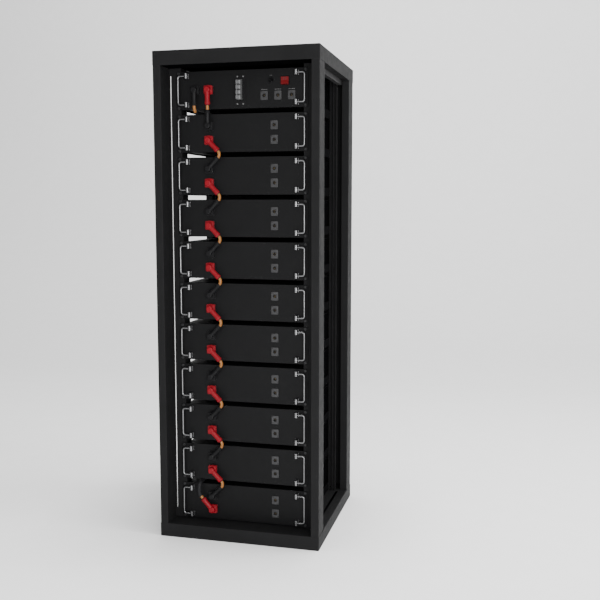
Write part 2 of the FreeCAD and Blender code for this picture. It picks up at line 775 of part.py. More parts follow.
def return_sleeved():
    """Sleeved stretch: back over the first module, down behind the modules,
    forward over the last module and down its front to the lower orange end."""
    x = CONTROL_NEGATIVE_X
    high = resting_height(1)
    low = resting_height(UNIT_COUNT - 1)
    upper_end, direction = entry_split()
    tangent = ENTRY_BEND * tan(radians(90.0 - ENTRY_ORANGE_ANGLE) / 2)
    _, lower_end = return_lower_points()
    rise = (lower_end.x - x) * tan(radians(180.0 - RETURN_PLUG_ANGLE))
    knee = V(x, LEAD_Y, lower_end.z + rise)
    reach = lower_end.distanceToPoint(knee)
    turn = radians(RETURN_PLUG_ANGLE - 90.0)
    points = [upper_end,
              upper_end + direction * tangent,
              V(x, RETURN_LEAD_Y, high),
              V(x, RETURN_LEAD_Y, low),
              V(x, LEAD_Y, low),
              knee,
              lower_end]
    bends = [ENTRY_BEND, REAR_BEND, REAR_BEND, ENTRY_BEND, KNEE_FILL * reach / tan(turn / 2)]
    return lead(points, bends, SLEEVE_RADIUS)


def write_leads():
    jumpers = [jumper(unit) for unit in range(UNIT_COUNT - 1)]
    start, end = return_lower_points()
    lower_end = rod(LEAD_RADIUS, start, end)
    write_node("power_cables", jumpers + [return_upper_end(), lower_end])
    write_node("return_lead", [return_sleeved()])


# Data ports --------------------------------------------------------------------------

def data_port(x, z):
    """Port with an oblong flange and a round blind socket."""
    flange = face_pad(x, z, PORT_WIDTH, PORT_HEIGHT, PANEL_FRONT - PORT_FLANGE,
                      PANEL_FRONT, 3.0)
    flange = bevel_front(flange, 0.5)
    barrel = rod(PORT_BARREL_RADIUS, V(x, PANEL_FRONT, z),
                 V(x, PANEL_FRONT + PORT_BARREL_LENGTH, z))
    bore = rod(PORT_BORE_RADIUS, V(x, PANEL_FRONT - PORT_FLANGE, z),
               V(x, PANEL_FRONT - PORT_FLANGE + PORT_BORE_DEPTH, z))
    return fuse_all([flange, barrel]).cut(bore)


def write_ports():
    ports = [data_port(x, unit_bottom(unit) + z)
             for unit in range(UNIT_COUNT) for x, z in unit_ports(unit)]
    write_node("data_ports", ports)


# Control box switches ----------------------------------------------------------------

def button_ring(z):
    """Ring on the panel with a closed barrel behind it for the button to slide in."""
    bore_radius = BUTTON_RADIUS + ROCKER_GAP
    depth = 16.0
    ring = rod(BUTTON_RING_RADIUS, V(BUTTON_X, PANEL_FRONT - BUTTON_RING_PROUD, z),
               V(BUTTON_X, PANEL_FRONT, z))
    ring = bevel_front(ring, 0.8)
    barrel = rod(BUTTON_BARREL_RADIUS, V(BUTTON_X, PANEL_FRONT, z),
                 V(BUTTON_X, PANEL_FRONT + depth, z))
    bore = rod(bore_radius, V(BUTTON_X, PANEL_FRONT - BUTTON_RING_PROUD - 1, z),
               V(BUTTON_X, PANEL_FRONT + depth - 1.5, z))
    return fuse_all([ring, barrel]).cut(bore)


def push_button(z):
    """Sliding cap with a bevelled rim and a shallow dished front."""
    front = PANEL_FRONT - BUTTON_PROUD
    cap = rod(BUTTON_RADIUS, V(BUTTON_X, front, z), V(BUTTON_X, PANEL_FRONT + 8.0, z))
    cap = bevel_front(cap, 0.7)
    dish_radius = 60.0
    dish_depth = 0.4
    dish = Part.makeSphere(dish_radius, V(BUTTON_X, front + dish_depth - dish_radius, z))
    return cap.cut(dish)


def rocker_frame(z):
    """Square frame with a closed housing behind the panel and two pivot holes."""
    proud = 2.2
    half_hole = ROCKER_SIDE / 2 + ROCKER_GAP
    rim = bevel_front(face_pad(ROCKER_X, z, ROCKER_FRAME_SIDE, ROCKER_FRAME_SIDE,
                               PANEL_FRONT - proud, PANEL_FRONT, 3.0), 0.8)
    housing_half = ROCKER_FRAME_SIDE / 2 - 1.2
    housing = block(ROCKER_X - housing_half, ROCKER_X + housing_half, PANEL_FRONT,
                    PANEL_FRONT + 22.0, z - housing_half, z + housing_half)
    hollow = block(ROCKER_X - half_hole, ROCKER_X + half_hole, PANEL_FRONT - proud - 1,
                   PANEL_FRONT + 20.0, z - half_hole, z + half_hole)
    pivots = rod(ROCKER_PIN_RADIUS + 0.05, V(ROCKER_X - half_hole - 1.0, ROCKER_PIVOT_Y, z),
                 V(ROCKER_X + half_hole + 1.0, ROCKER_PIVOT_Y, z))
    return fuse_all([rim, housing]).cut(hollow).cut(pivots)


def rocker_switch(z):
    """Rocker with two shallow facets, pressed in at its upper half, and pivot pins."""
    half = ROCKER_SIDE / 2
    crest = PANEL_FRONT - 6.2
    valley = PANEL_FRONT - 4.4
    heel = PANEL_FRONT + 1.5
    belly = PANEL_FRONT + 6.0
    outline = [(crest, -half + 0.9), (valley, 0.0), (crest, half - 0.9), (heel, half - 0.4),
               (belly, 7.0), (belly, -7.0), (heel, -half + 0.4), (crest, -half + 0.9)]
    wire = Part.makePolygon([V(ROCKER_X - half, y, z + dz) for y, dz in outline])
    body = Part.Face(wire).extrude(V(ROCKER_SIDE, 0, 0))
    body = body.makeFillet(0.7, edges_along(body, V(1, 0, 0))[:3])
    pins = rod(ROCKER_PIN_RADIUS, V(ROCKER_X - half - 1.2, ROCKER_PIVOT_Y, z),
               V(ROCKER_X + half + 1.2, ROCKER_PIVOT_Y, z))
    whole = fuse_all([body, pins])
    whole.rotate(V(ROCKER_X, ROCKER_PIVOT_Y, z), V(1, 0, 0), -ROCKER_TILT)
    return whole


def breaker_bezel(z):
    """Thin plate round the breaker's nose."""
    plate = face_pad(BREAKER_X, z, BEZEL_WIDTH, BEZEL_HEIGHT,
                     PANEL_FRONT - BEZEL_THICKNESS, PANEL_FRONT, 2.0)
    holes = [rod(BEZEL_HOLE_RADIUS, V(x, PANEL_FRONT - 5, dz), V(x, PANEL_FRONT + 1, dz))
             for x, dz in bezel_screw_places(z)]
    return cut_all(plate, [breaker_window(z, PANEL_FRONT - 5, PANEL_FRONT + 1)] + holes)


def breaker_pole(z):
    """One pole: wide body behind the panel and a narrow nose through it."""
    gap = 0.1
    z0 = z - POLE_PITCH / 2 + gap
    z1 = z + POLE_PITCH / 2 - gap
    half_nose = BREAKER_NOSE_WIDTH / 2
    half_body = BREAKER_BODY_WIDTH / 2
    body_front = RAIL_FRONT + 5.0
    nose = rounded_block(BREAKER_X - half_nose, BREAKER_X + half_nose,
                         PANEL_FRONT - BREAKER_NOSE_PROUD, body_front + 1.0,
                         z0, z1, V(0, 0, 1), 2.0)
    body = block(BREAKER_X - half_body, BREAKER_X + half_body, body_front,
                 body_front + BREAKER_BODY_DEPTH, z0, z1)
    wall = 2.4
    trench = lever_axis_rod(LEVER_HUB_RADIUS + LEVER_GAP, z, POLE_PITCH / 2 - wall)
    return fuse_all([nose, body]).cut(trench)


def lever_axis_rod(radius, z, half_length):
    """Round bar on the lever's axis."""
    return rod(radius, V(BREAKER_X, LEVER_AXIS_Y, z - half_length),
               V(BREAKER_X, LEVER_AXIS_Y, z + half_length))


def breaker_axle_hole(z):
    """Tool for the axle that runs through every pole."""
    return lever_axis_rod(LEVER_AXLE_RADIUS + 0.05, z, POLE_STACK_HALF - 1.5)


def pole_heights(z):
    return [z + POLE_PITCH * (index - (POLE_COUNT - 1) / 2) for index in range(POLE_COUNT)]


def breaker_lever(z):
    """Ganged lever: a hub and a finger in each pole, one axle and one tie bar."""
    pieces = [lever_axis_rod(LEVER_AXLE_RADIUS, z, POLE_STACK_HALF - 2.0)]
    hub_half = POLE_PITCH / 2 - 2.8
    tip_y = LEVER_AXIS_Y - LEVER_LENGTH
    for height in pole_heights(z):
        finger = rounded_block(BREAKER_X - LEVER_FINGER_HALF, BREAKER_X + LEVER_FINGER_HALF,
                               tip_y, LEVER_AXIS_Y, height - hub_half, height + hub_half,
                               V(0, 0, 1), 1.5)
        pieces += [lever_axis_rod(LEVER_HUB_RADIUS, height, hub_half), finger]
    tie_half = POLE_STACK_HALF - 4.0
    pieces.append(rounded_block(BREAKER_X - 1.5, BREAKER_X + 1.5, tip_y + 1.5, tip_y + 4.5,
                                z - tie_half, z + tie_half, V(0, 0, 1), 1.0))
    lever = fuse_all(pieces)
    lever.rotate(V(BREAKER_X, LEVER_AXIS_Y, z), V(0, 0, 1), -LEVER_REST_ANGLE)
    return lever


def write_switches():
    bottom = unit_bottom(0)
    breaker_z = bottom + BREAKER_Z
    write_node("push_button", [push_button(bottom + BUTTON_Z)])
    write_node("rocker_switch", [rocker_switch(bottom + ROCKER_Z)])
    write_node("breaker_lever", [breaker_lever(breaker_z)])
    write_node("switch_bezels", [button_ring(bottom + BUTTON_Z),
                                 rocker_frame(bottom + ROCKER_Z),
                                 breaker_bezel(breaker_z)])
    axle_hole = breaker_axle_hole(breaker_z)
    write_node("breaker_body", [breaker_pole(height).cut(axle_hole)
                                for height in pole_heights(breaker_z)])


# Fasteners ---------------------------------------------------------------------------

def rack_screw(x, z):
    """Button-head screw through a rack ear into the rail."""
    head_radius = 5.2
    head_height = 3.0
    socket_radius = 2.3
    head = Part.makeCylinder(head_radius, head_height, V(x, PANEL_FRONT, z), V(0, -1, 0))
    head = bevel_front(head, 1.2)
    shank = rod(RACK_SCREW_RADIUS, V(x, PANEL_FRONT, z), V(x, RAIL_FRONT + 8.0, z))
    corners = [radians(60 * step) for step in range(7)]
    hexagon = Part.makePolygon([V(x + socket_radius * cos(turn),
                                  PANEL_FRONT - head_height - 0.5,
                                  z + socket_radius * sin(turn)) for turn in corners])
    drive = Part.Face(hexagon).extrude(V(0, 2.5, 0))
    return fuse_all([head, shank]).cut(drive)


def bezel_screw(x, z):
    """Small pan-head screw of the breaker's bezel."""
    head_radius = 3.2
    head_height = 1.8
    slot_half = 0.4
    front = PANEL_FRONT - BEZEL_THICKNESS
    head = Part.makeCylinder(head_radius, head_height, V(x, front, z), V(0, -1, 0))
    head = bevel_front(head, 0.6)
    shank = rod(BEZEL_SCREW_RADIUS, V(x, front, z), V(x, RAIL_FRONT + 3.0, z))
    slot = block(x - head_radius + 0.8, x + head_radius - 0.8, front - head_height - 1.0,
                 front - 1.0, z - slot_half, z + slot_half)
    return fuse_all([head, shank]).cut(slot)


def lead_clip(z):
    """Saddle that holds the return lead to the back panel."""
    x = CONTROL_NEGATIVE_X
    back = CABINET_DEPTH / 2 - POST_INSET - SHEET
    inner = SLEEVE_RADIUS + CLIP_CLEARANCE
    outer = inner + CLIP_WALL
    foot_half = outer + CLIP_FOOT_REACH
    ring = rod(outer, V(x, RETURN_LEAD_Y, z), V(x, RETURN_LEAD_Y, z + CLIP_WIDTH))
    cheeks = block(x - outer, x + outer, RETURN_LEAD_Y, back, z, z + CLIP_WIDTH)
    foot = block(x - foot_half, x + foot_half, back - CLIP_FOOT_THICKNESS, back,
                 z, z + CLIP_WIDTH)
    bore = rod(inner, V(x, RETURN_LEAD_Y, z - 1), V(x, RETURN_LEAD_Y, z + CLIP_WIDTH + 1))
    return fuse_all([ring, cheeks, foot]).cut(bore)


def write_fasteners():
    screws = [rack_screw(side * RACK_SCREW_X, z)
              for side in (-1, 1) for z in rack_screw_heights()]
    screws += [bezel_screw(x, z)
               for x, z in bezel_screw_places(unit_bottom(0) + BREAKER_Z)]
    pins = []
    for unit in range(UNIT_COUNT):
        for z in pivot_heights(unit):
            pins += [hinge_pin(z), mirror_x(hinge_pin(z))]
    clips = [lead_clip(z) for z in CLIP_HEIGHTS]
    write_node("fasteners", screws + pins + clips)


# Inside the units --------------------------------------------------------------------

def cell_corner(unit, stack, row):
    """Low corner of one cell: stack 0 is on the left, row 0 at the front."""
    x = -CELL_WIDTH - STACK_GAP / 2 if stack == 0 else STACK_GAP / 2
    return V(x, CELLS_FRONT + row * CELL_THICKNESS, unit_bottom(unit) + CELL_FLOOR)


def module_cells(unit):
    """Sixteen prismatic cells in two stacks."""
    cells = []
    for stack in (0, 1):
        for row in range(CELLS_PER_STACK):
            corner = cell_corner(unit, stack, row)
            cells.append(Part.makeBox(CELL_WIDTH, CELL_THICKNESS - 0.5, CELL_HEIGHT, corner))
    return cells


def module_links(unit):
    """Copper links that join each cell to the next one and the two stacks at the back."""
    top = unit_bottom(unit) + CELL_FLOOR + CELL_HEIGHT
    links = []
    for stack in (0, 1):
        for row in range(CELLS_PER_STACK - 1):
            corner = cell_corner(unit, stack, row)
            x = corner.x + (LINK_WIDTH if row % 2 == 0 else CELL_WIDTH - 2 * LINK_WIDTH)
            y = corner.y + (CELL_THICKNESS - LINK_WIDTH) / 2
            links.append(block(x, x + LINK_WIDTH, y, y + CELL_THICKNESS + LINK_WIDTH,
                               top, top + LINK_THICKNESS))
    last = cell_corner(unit, 0, CELLS_PER_STACK - 1)
    y = last.y + CELL_THICKNESS / 2
    links.append(block(-CROSS_LINK_HALF, CROSS_LINK_HALF, y, y + LINK_WIDTH,
                       top, top + LINK_THICKNESS))
    return links


def write_internals():
    """Cells, copper and boards, each set shared by all the units."""
    cells = []
    copper = []
    boards = []
    for unit in range(UNIT_COUNT):
        bottom = unit_bottom(unit)
        copper += [contact_pin(*socket_place(unit, True)),
                   contact_pin(*socket_place(unit, False))]
        if unit == 0:
            board_z = bottom + 12.0
            boards.append(block(30.0, 200.0, -60.0, 60.0, board_z, board_z + BOARD_THICKNESS))
            continue
        cells += module_cells(unit)
        copper += module_links(unit)
        boards.append(block(MONITOR_BOARD_X, MONITOR_BOARD_X + BOARD_THICKNESS,
                            -170.0, 20.0, bottom + 15.0, bottom + 110.0))
    write_node("cells", cells)
    write_node("busbars_and_pins", copper)
    write_node("circuit_boards", boards)


def contactor(x, y, z):
    """Contactor: square body, round coil pot and two terminal studs."""
    half = 28.0
    pot_z = z + 40.0
    stud_z = pot_z + 26.0
    stud_x = 14.0
    body = rounded_block(x - half, x + half, y - half, y + half, z, pot_z, V(0, 0, 1), 4.0)
    pot = rod(24.0, V(x, y, pot_z), V(x, y, stud_z))
    studs = [rod(4.0, V(x + side * stud_x, y, stud_z), V(x + side * stud_x, y, stud_z + 16.0))
             for side in (-1, 1)]
    return fuse_all([body, pot] + studs)


def main_fuse(x, y, z):
    """Cartridge fuse with a blade at each end."""
    length = 70.0
    blade_half = 12.0
    blade_length = 25.0
    pieces = [rod(18.0, V(x, y, z), V(x, y + length, z))]
    for y0 in (y + 1.0 - blade_length, y + length - 1.0):
        pieces.append(block(x - blade_half, x + blade_half, y0, y0 + blade_length,
                            z - 2.0, z + 2.0))
    return fuse_all(pieces)


def current_shunt(x, y, z):
    """Two copper blocks joined by a thin measuring strip."""
    half = 20.0
    depth = 30.0
    spacing = 70.0
    strip = block(x - 15.0, x + 15.0, y + depth - 1.0, y + spacing + 1.0, z + 4.0, z + 7.0)
    ends = [block(x - half, x + half, y0, y0 + depth, z, z + 10.0)
            for y0 in (y, y + spacing)]
    return fuse_all(ends + [strip])


def write_control_gear():
    """Contactors, main fuse, current shunt and internal supply of the control box."""
    floor = unit_bottom(0) + CASE_BOTTOM + CASE_SHEET
    contactors = [contactor(x, y, floor)
                  for x, y in ((-150.0, -60.0), (-80.0, -60.0), (-115.0, 5.0))]
    supply = rounded_block(60.0, 180.0, 90.0, 170.0, floor, floor + 45.0, V(0, 0, 1), 2.0)
    write_node("control_gear", contactors + [main_fuse(-60.0, 60.0, floor + 30.0),
                                             current_shunt(-170.0, 40.0, floor), supply])


def main():
    os.makedirs(PARTS_DIR, exist_ok=True)
    write_node("base_plinth", [base_plinth()])
    write_node("top_cover", [hollow_slab(FRAME_TOP, CABINET_HEIGHT)])
    write_posts()
    write_rails()
    write_depth_members()
    write_back_panel()
    write_runners()
    write_units()
    write_handles()
    write_connectors()
    write_leads()
    write_ports()
    write_switches()
    write_fasteners()
    write_internals()
    write_control_gear()


main()
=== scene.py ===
"""Looks for the open rack cabinet: materials, detailed pieces, light, floor and camera."""

from math import cos, pi, radians, sin

import bmesh
import bpy
from mathutils import Matrix, Vector


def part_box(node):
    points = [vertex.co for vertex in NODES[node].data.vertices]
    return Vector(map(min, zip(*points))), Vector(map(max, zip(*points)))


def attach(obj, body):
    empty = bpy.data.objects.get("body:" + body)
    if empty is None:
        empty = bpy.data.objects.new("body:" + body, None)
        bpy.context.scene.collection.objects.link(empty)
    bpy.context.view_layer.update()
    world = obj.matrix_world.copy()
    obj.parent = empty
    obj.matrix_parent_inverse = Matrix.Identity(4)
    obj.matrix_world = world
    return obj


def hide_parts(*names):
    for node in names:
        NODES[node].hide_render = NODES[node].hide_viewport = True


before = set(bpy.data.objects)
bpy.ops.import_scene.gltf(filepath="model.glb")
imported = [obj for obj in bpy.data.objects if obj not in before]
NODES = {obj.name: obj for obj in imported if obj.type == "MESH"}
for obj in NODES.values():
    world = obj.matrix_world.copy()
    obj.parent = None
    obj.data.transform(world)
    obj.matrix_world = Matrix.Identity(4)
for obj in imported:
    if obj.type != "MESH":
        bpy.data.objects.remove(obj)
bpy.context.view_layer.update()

MM = 0.001
IDENTITY = Matrix.Identity(4)
CABINET = "cabinet"
UNIT_NODES = ["control_box"] + [f"battery_module_{n:02d}" for n in range(1, 11)]
LAST_UNIT = len(UNIT_NODES) - 1

# Sizes that repeat the CAD model's, in millimetres
PANEL_MIDDLE = 66.25
SOCKET_X = -118.5
CONTROL_NEGATIVE_X = -168.0
SOCKET_OFFSET = 25.0
PLUG_SETBACK = 3.0
TAIL_Y = -16.5
PORT_X = 120.0
CONTROL_PORT_XS = (84.0, 133.5, 183.0)
CONTROL_PORT_Z = 42.0
PIVOT_X = 201.0
PIVOT_Y = -12.0
JUMPER_ANGLE = 46.0
RETURN_PLUG_ANGLE = 131.5
LOWER_ORANGE_RUN = 14.0
BREAKER_X = -2.5
BREAKER_Z = 62.6
BEZEL_SCREW_X = 10.5
BEZEL_SCREW_Z = 47.0
BEZEL_SCREW_PROUD = 3.3
BUTTON_X = 108.0
BUTTON_Z = 93.0
PIVOT_SPACING = 100.0
PIN_HALF_LENGTH = 8.5
CASE_HALF_WIDTH = 220.0
POST_WIDTH = 30.0
POST_DEPTH = 80.0
TAIL_END = 53.0

# Sizes of pieces that only the looks have, in millimetres
COLLAR_OVERLAP = 3.0
LID_FLANGE_SETBACK = 8.0
LID_FLANGE_BOTTOM = 106.0
LID_FLANGE_TOP = 131.6
LID_FLANGE_THICKNESS = 0.9
LID_SCREWS = 5
LID_SCREW_MARGIN = 28.0
SHADE_SHEET_THICKNESS = 0.3
SHADE_SHEET_INSET = 3.0
BACK_SCREW_ROWS = 7
BACK_SCREW_MARGIN_X = 12.0
BACK_SCREW_MARGIN_Z = 14.0

PANEL_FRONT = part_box("battery_module_05")[0].y / MM


def unit_bottom(unit):
    """Z of the lower edge of a unit's panel, in millimetres."""
    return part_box(UNIT_NODES[unit])[0].z / MM


# Materials ---------------------------------------------------------------------------

def node(tree, kind, **settings):
    """New shader node with its settings."""
    made = tree.nodes.new(kind)
    for name, value in settings.items():
        setattr(made, name, value)
    return made


def scaled_coordinates(tree, scale):
    """Object coordinates stretched by a factor for each axis."""
    source = node(tree, "ShaderNodeTexCoord")
    mapping = node(tree, "ShaderNodeMapping")
    mapping.inputs["Scale"].default_value = scale
    tree.links.new(source.outputs["Object"], mapping.inputs["Vector"])
    return mapping.outputs["Vector"]


def noise(tree, vector, scale, detail=3.0, roughness=0.55):
    """Value of a noise texture."""
    made = node(tree, "ShaderNodeTexNoise")
    made.inputs["Scale"].default_value = scale
    made.inputs["Detail"].default_value = detail
    made.inputs["Roughness"].default_value = roughness
    tree.links.new(vector, made.inputs["Vector"])
    return made.outputs["Fac"]


def ranged(tree, value, low, high, start=0.3, end=0.7):
    """A 0 to 1 value spread over another range."""
    made = node(tree, "ShaderNodeMapRange")
    made.inputs["From Min"].default_value = start
    made.inputs["From Max"].default_value = end
    made.inputs["To Min"].default_value = low
    made.inputs["To Max"].default_value = high
    tree.links.new(value, made.inputs["Value"])
    return made.outputs["Result"]


def shade(color, factor):
    """Colour made darker or lighter by a factor, with its alpha."""
    return tuple(min(1.0, channel * factor) for channel in color) + (1.0,)


def surface(name, color, rough, metallic=0.0, spread=0.08, rough_spread=0.06,
            grain_scale=900.0, grain_depth=0.00004, stretch=(1.0, 1.0, 1.0),
            coat=0.0, edge=0.0, specular=0.5):
    """Procedural material: uneven colour, uneven gloss, fine grain and lighter colour along the
    edges as a painted highlight.
    """
    material = bpy.data.materials.new(name)
    material.use_nodes = True
    tree = material.node_tree
    shader = tree.nodes["Principled BSDF"]
    shader.inputs["Metallic"].default_value = metallic
    shader.inputs["Coat Weight"].default_value = coat
    shader.inputs["Specular IOR Level"].default_value = specular
    vector = scaled_coordinates(tree, stretch)
    cloud = noise(tree, vector, 9.0, 4.0)
    mix = node(tree, "ShaderNodeMix", data_type="RGBA")
    mix.inputs["A"].default_value = shade(color, 1.0 - spread)
    mix.inputs["B"].default_value = shade(color, 1.0 + spread)
    tree.links.new(ranged(tree, cloud, 0.0, 1.0), mix.inputs["Factor"])
    color_out = mix.outputs["Result"]
    # Painted highlight: the edge setting lightens the colour along outer edges.
    if edge > 0.0:
        color_out = painted_edge_highlights(tree, color_out, shade(color, 1.0 + edge))
    tree.links.new(color_out, shader.inputs["Base Color"])
    smudge = noise(tree, vector, 37.0, 5.0, 0.65)
    tree.links.new(ranged(tree, smudge, rough - rough_spread, rough + rough_spread),
                   shader.inputs["Roughness"])
    grain = noise(tree, vector, grain_scale, 2.0)
    bump = node(tree, "ShaderNodeBump")
    bump.inputs["Strength"].default_value = 1.0
    bump.inputs["Distance"].default_value = grain_depth
    tree.links.new(grain, bump.inputs["Height"])
    tree.links.new(bump.outputs["Normal"], shader.inputs["Normal"])
    return material


def painted_edge_highlights(tree, color_out, highlight_color):
    """Painted highlight: lighter colour along outer edges, where the bevelled normal leaves the
    flat one.
    """
    bevel = node(tree, "ShaderNodeBevel", samples=4)
    bevel.inputs["Radius"].default_value = 0.9 * MM
    flat = node(tree, "ShaderNodeNewGeometry")
    dot = node(tree, "ShaderNodeVectorMath", operation="DOT_PRODUCT")
    tree.links.new(bevel.outputs["Normal"], dot.inputs[0])
    tree.links.new(flat.outputs["Normal"], dot.inputs[1])
    mask = ranged(tree, dot.outputs["Value"], 1.0, 0.0, 0.80, 0.995)
    mix = node(tree, "ShaderNodeMix", data_type="RGBA")
    tree.links.new(mask, mix.inputs["Factor"])
    tree.links.new(color_out, mix.inputs["A"])
    mix.inputs["B"].default_value = highlight_color
    return mix.outputs["Result"]


def woven(name, color, rough, pitch):
    """Braided sleeve: two crossing sets of strands in relief."""
    material = surface(name, color, rough, spread=0.2, specular=0.2)
    tree = material.node_tree
    shader = tree.nodes["Principled BSDF"]
    bump = node(tree, "ShaderNodeBump")
    bump.inputs["Strength"].default_value = 0.8
    bump.inputs["Distance"].default_value = 0.0005
    waves = []
    for lean in (1.0, -1.0):
        turned = node(tree, "ShaderNodeMapping")
        turned.inputs["Rotation"].default_value = (lean * radians(40.0), 0.0,
                                                   lean * radians(45.0))
        source = node(tree, "ShaderNodeTexCoord")
        tree.links.new(source.outputs["Object"], turned.inputs["Vector"])
        wave = node(tree, "ShaderNodeTexWave", wave_type="BANDS", bands_direction="Z")
        wave.inputs["Scale"].default_value = 1.0 / (pitch * 3.2)
        tree.links.new(turned.outputs["Vector"], wave.inputs["Vector"])
        waves.append(wave.outputs["Fac"])
    top = node(tree, "ShaderNodeMath", operation="MAXIMUM")
    tree.links.new(waves[0], top.inputs[0])
    tree.links.new(waves[1], top.inputs[1])
    tree.links.new(top.outputs["Value"], bump.inputs["Height"])
    tree.links.new(bump.outputs["Normal"], shader.inputs["Normal"])
    return material


POWDER = surface("powder_coat_black", (0.0095, 0.0095, 0.0098), 0.56, spread=0.10,
                 grain_scale=1100.0, grain_depth=0.00005, edge=1.2, specular=0.05)
PANEL_PAINT = surface("panel_paint_black", (0.0031, 0.0031, 0.0034), 0.55, spread=0.10,
                      grain_scale=1400.0, grain_depth=0.00004, edge=1.6, specular=0.12)
# Lighter copy of the black paint on the depth members: painted light on their outer sides.
MEMBER_PAINT_LIGHTENED = surface("member_paint_black_painted_light", (0.022, 0.022, 0.0225), 0.55, spread=0.12,
                       grain_scale=1100.0, specular=0.15)
# Darker copy of the black paint, without gloss, on the support runners: painted shade inside the
# cabinet behind the front posts.
RUNNER_PAINT_SHADED = surface("runner_paint_black_painted_shade", (0.004, 0.004, 0.0043), 0.60, spread=0.12,
                       grain_scale=1100.0, specular=0.0)
# Near-black paint without gloss: painted shade on the case sides, their lid flanges and under the
# top cover.
SHADE_PAINT = surface("black_painted_shade", (0.0018, 0.0018, 0.0020), 0.65, spread=0.12,
                     grain_scale=1100.0, specular=0.0)
STEEL = surface("satin_steel", (0.20, 0.20, 0.204), 0.32, metallic=1.0, spread=0.06,
                grain_scale=700.0, grain_depth=0.00001, stretch=(1.0, 1.0, 0.15))
CAST_STEEL = surface("cast_steel", (0.21, 0.21, 0.214), 0.40, metallic=1.0, spread=0.10,
                     grain_scale=1500.0, grain_depth=0.00003, edge=0.3)
DULL_STEEL = surface("dull_steel", (0.11, 0.11, 0.11), 0.50, metallic=0.6, spread=0.08,
                     grain_scale=1500.0, grain_depth=0.00002)
BLACK_SCREW = surface("screw_black_oxide", (0.018, 0.018, 0.019), 0.42, metallic=0.5,
                      spread=0.15, grain_scale=1800.0, grain_depth=0.00002)
RED_PLASTIC = surface("plug_red_plastic", (0.154, 0.0022, 0.0066), 0.42, spread=0.06,
                      grain_scale=1600.0, grain_depth=0.00004, edge=0.10, specular=0.16)
BLACK_PLASTIC = surface("plug_black_plastic", (0.0030, 0.0030, 0.0034), 0.48, spread=0.12,
                        grain_scale=1600.0, grain_depth=0.00004, specular=0.14)
SOCKET_PLASTIC = surface("socket_black_plastic", (0.008, 0.008, 0.009), 0.45, spread=0.12,
                         grain_scale=1600.0, grain_depth=0.00004, specular=0.3)
ORANGE_JACKET = surface("cable_jacket_orange", (0.215, 0.084, 0.017), 0.42, spread=0.07,
                        grain_scale=1200.0, grain_depth=0.00005, specular=0.35)
RUBBER = surface("seal_rubber_black", (0.008, 0.008, 0.008), 0.70, spread=0.12,
                 grain_scale=1200.0, specular=0.2)
SLEEVE = woven("braided_sleeve_black", (0.008, 0.008, 0.009), 0.65, 1.4 * MM)
PORT_METAL = surface("port_flange_grey", (0.036, 0.036, 0.038), 0.45, metallic=0.35,
                     spread=0.10, grain_scale=1500.0, grain_depth=0.00003, edge=0.4)
PORT_METAL_DARK = surface("port_flange_dark", (0.018, 0.018, 0.0192), 0.48, metallic=0.25,
                          spread=0.10, grain_scale=1500.0, grain_depth=0.00003, edge=0.4)
PORT_INSERT = surface("port_insert_black", (0.003, 0.003, 0.003), 0.6, spread=0.1,
                      grain_scale=1500.0, specular=0.2)
GOLD = surface("contact_gold", (0.26, 0.17, 0.06), 0.40, metallic=1.0, spread=0.05,
               grain_scale=1500.0, grain_depth=0.00001)
BREAKER_GREY = surface("breaker_grey", (0.028, 0.0285, 0.029), 0.45, spread=0.04,
                       grain_scale=1500.0, grain_depth=0.00003, edge=0.10, specular=0.35)
LEVER_GREY = surface("breaker_lever_grey", (0.085, 0.086, 0.088), 0.40, spread=0.04,
                     grain_scale=1500.0, grain_depth=0.00002, specular=0.4)
BEZEL_PLASTIC = surface("bezel_black_plastic", (0.0040, 0.0040, 0.0044), 0.50, spread=0.1,
                        grain_scale=1600.0, grain_depth=0.00004, edge=0.4, specular=0.12)
ROCKER_RED = surface("rocker_red_gloss", (0.100, 0.0028, 0.0040), 0.40, spread=0.05,
                     grain_scale=1200.0, grain_depth=0.00001, coat=0.05, specular=0.16)
BUTTON_DARK = surface("button_dark", (0.0016, 0.0016, 0.0018), 0.50, spread=0.1,
                      grain_scale=1400.0, grain_depth=0.00002, specular=0.06)
MARK_PAINT = surface("mark_paint_grey", (0.10, 0.10, 0.10), 0.6, spread=0.12,
                     grain_scale=1500.0)
MARK_DARK = surface("mark_paint_dark", (0.04, 0.003, 0.004), 0.5, spread=0.1,
                    grain_scale=1500.0)
CELL_FILM = surface("cell_film_blue", (0.03, 0.07, 0.22), 0.35, spread=0.1)
COPPER = surface("copper_bare", (0.80, 0.36, 0.22), 0.3, metallic=1.0, spread=0.1)
BOARD = surface("board_green", (0.01, 0.09, 0.03), 0.4, spread=0.15)
GEAR_PLASTIC = surface("gear_black_plastic", (0.012, 0.012, 0.013), 0.45, spread=0.1)

CAD_MATERIALS = {
    "base_plinth": POWDER, "top_cover": POWDER, "rack_rails": POWDER,
    "depth_members": MEMBER_PAINT_LIGHTENED, "back_panel": POWDER, "support_runners": RUNNER_PAINT_SHADED,
    "handle_brackets": CAST_STEEL, "power_sockets": SOCKET_PLASTIC,
    "plugs_red": RED_PLASTIC, "plugs_black": BLACK_PLASTIC,
    "power_cables": ORANGE_JACKET, "return_lead": SLEEVE, "data_ports": PORT_METAL,
    "breaker_body": BREAKER_GREY, "switch_bezels": BEZEL_PLASTIC,
    "fasteners": BLACK_SCREW, "cells": CELL_FILM, "busbars_and_pins": COPPER,
    "circuit_boards": BOARD, "control_gear": GEAR_PLASTIC,
    "rocker_switch": ROCKER_RED, "push_button": BUTTON_DARK,
    "breaker_lever": LEVER_GREY,
}


def cad_material(name):
    """The material that a CAD node takes."""
    if name in CAD_MATERIALS:
        return CAD_MATERIALS[name]
    if name.startswith("post_"):
        return POWDER
    if name.startswith("handle_"):
        return STEEL
    return PANEL_PAINT


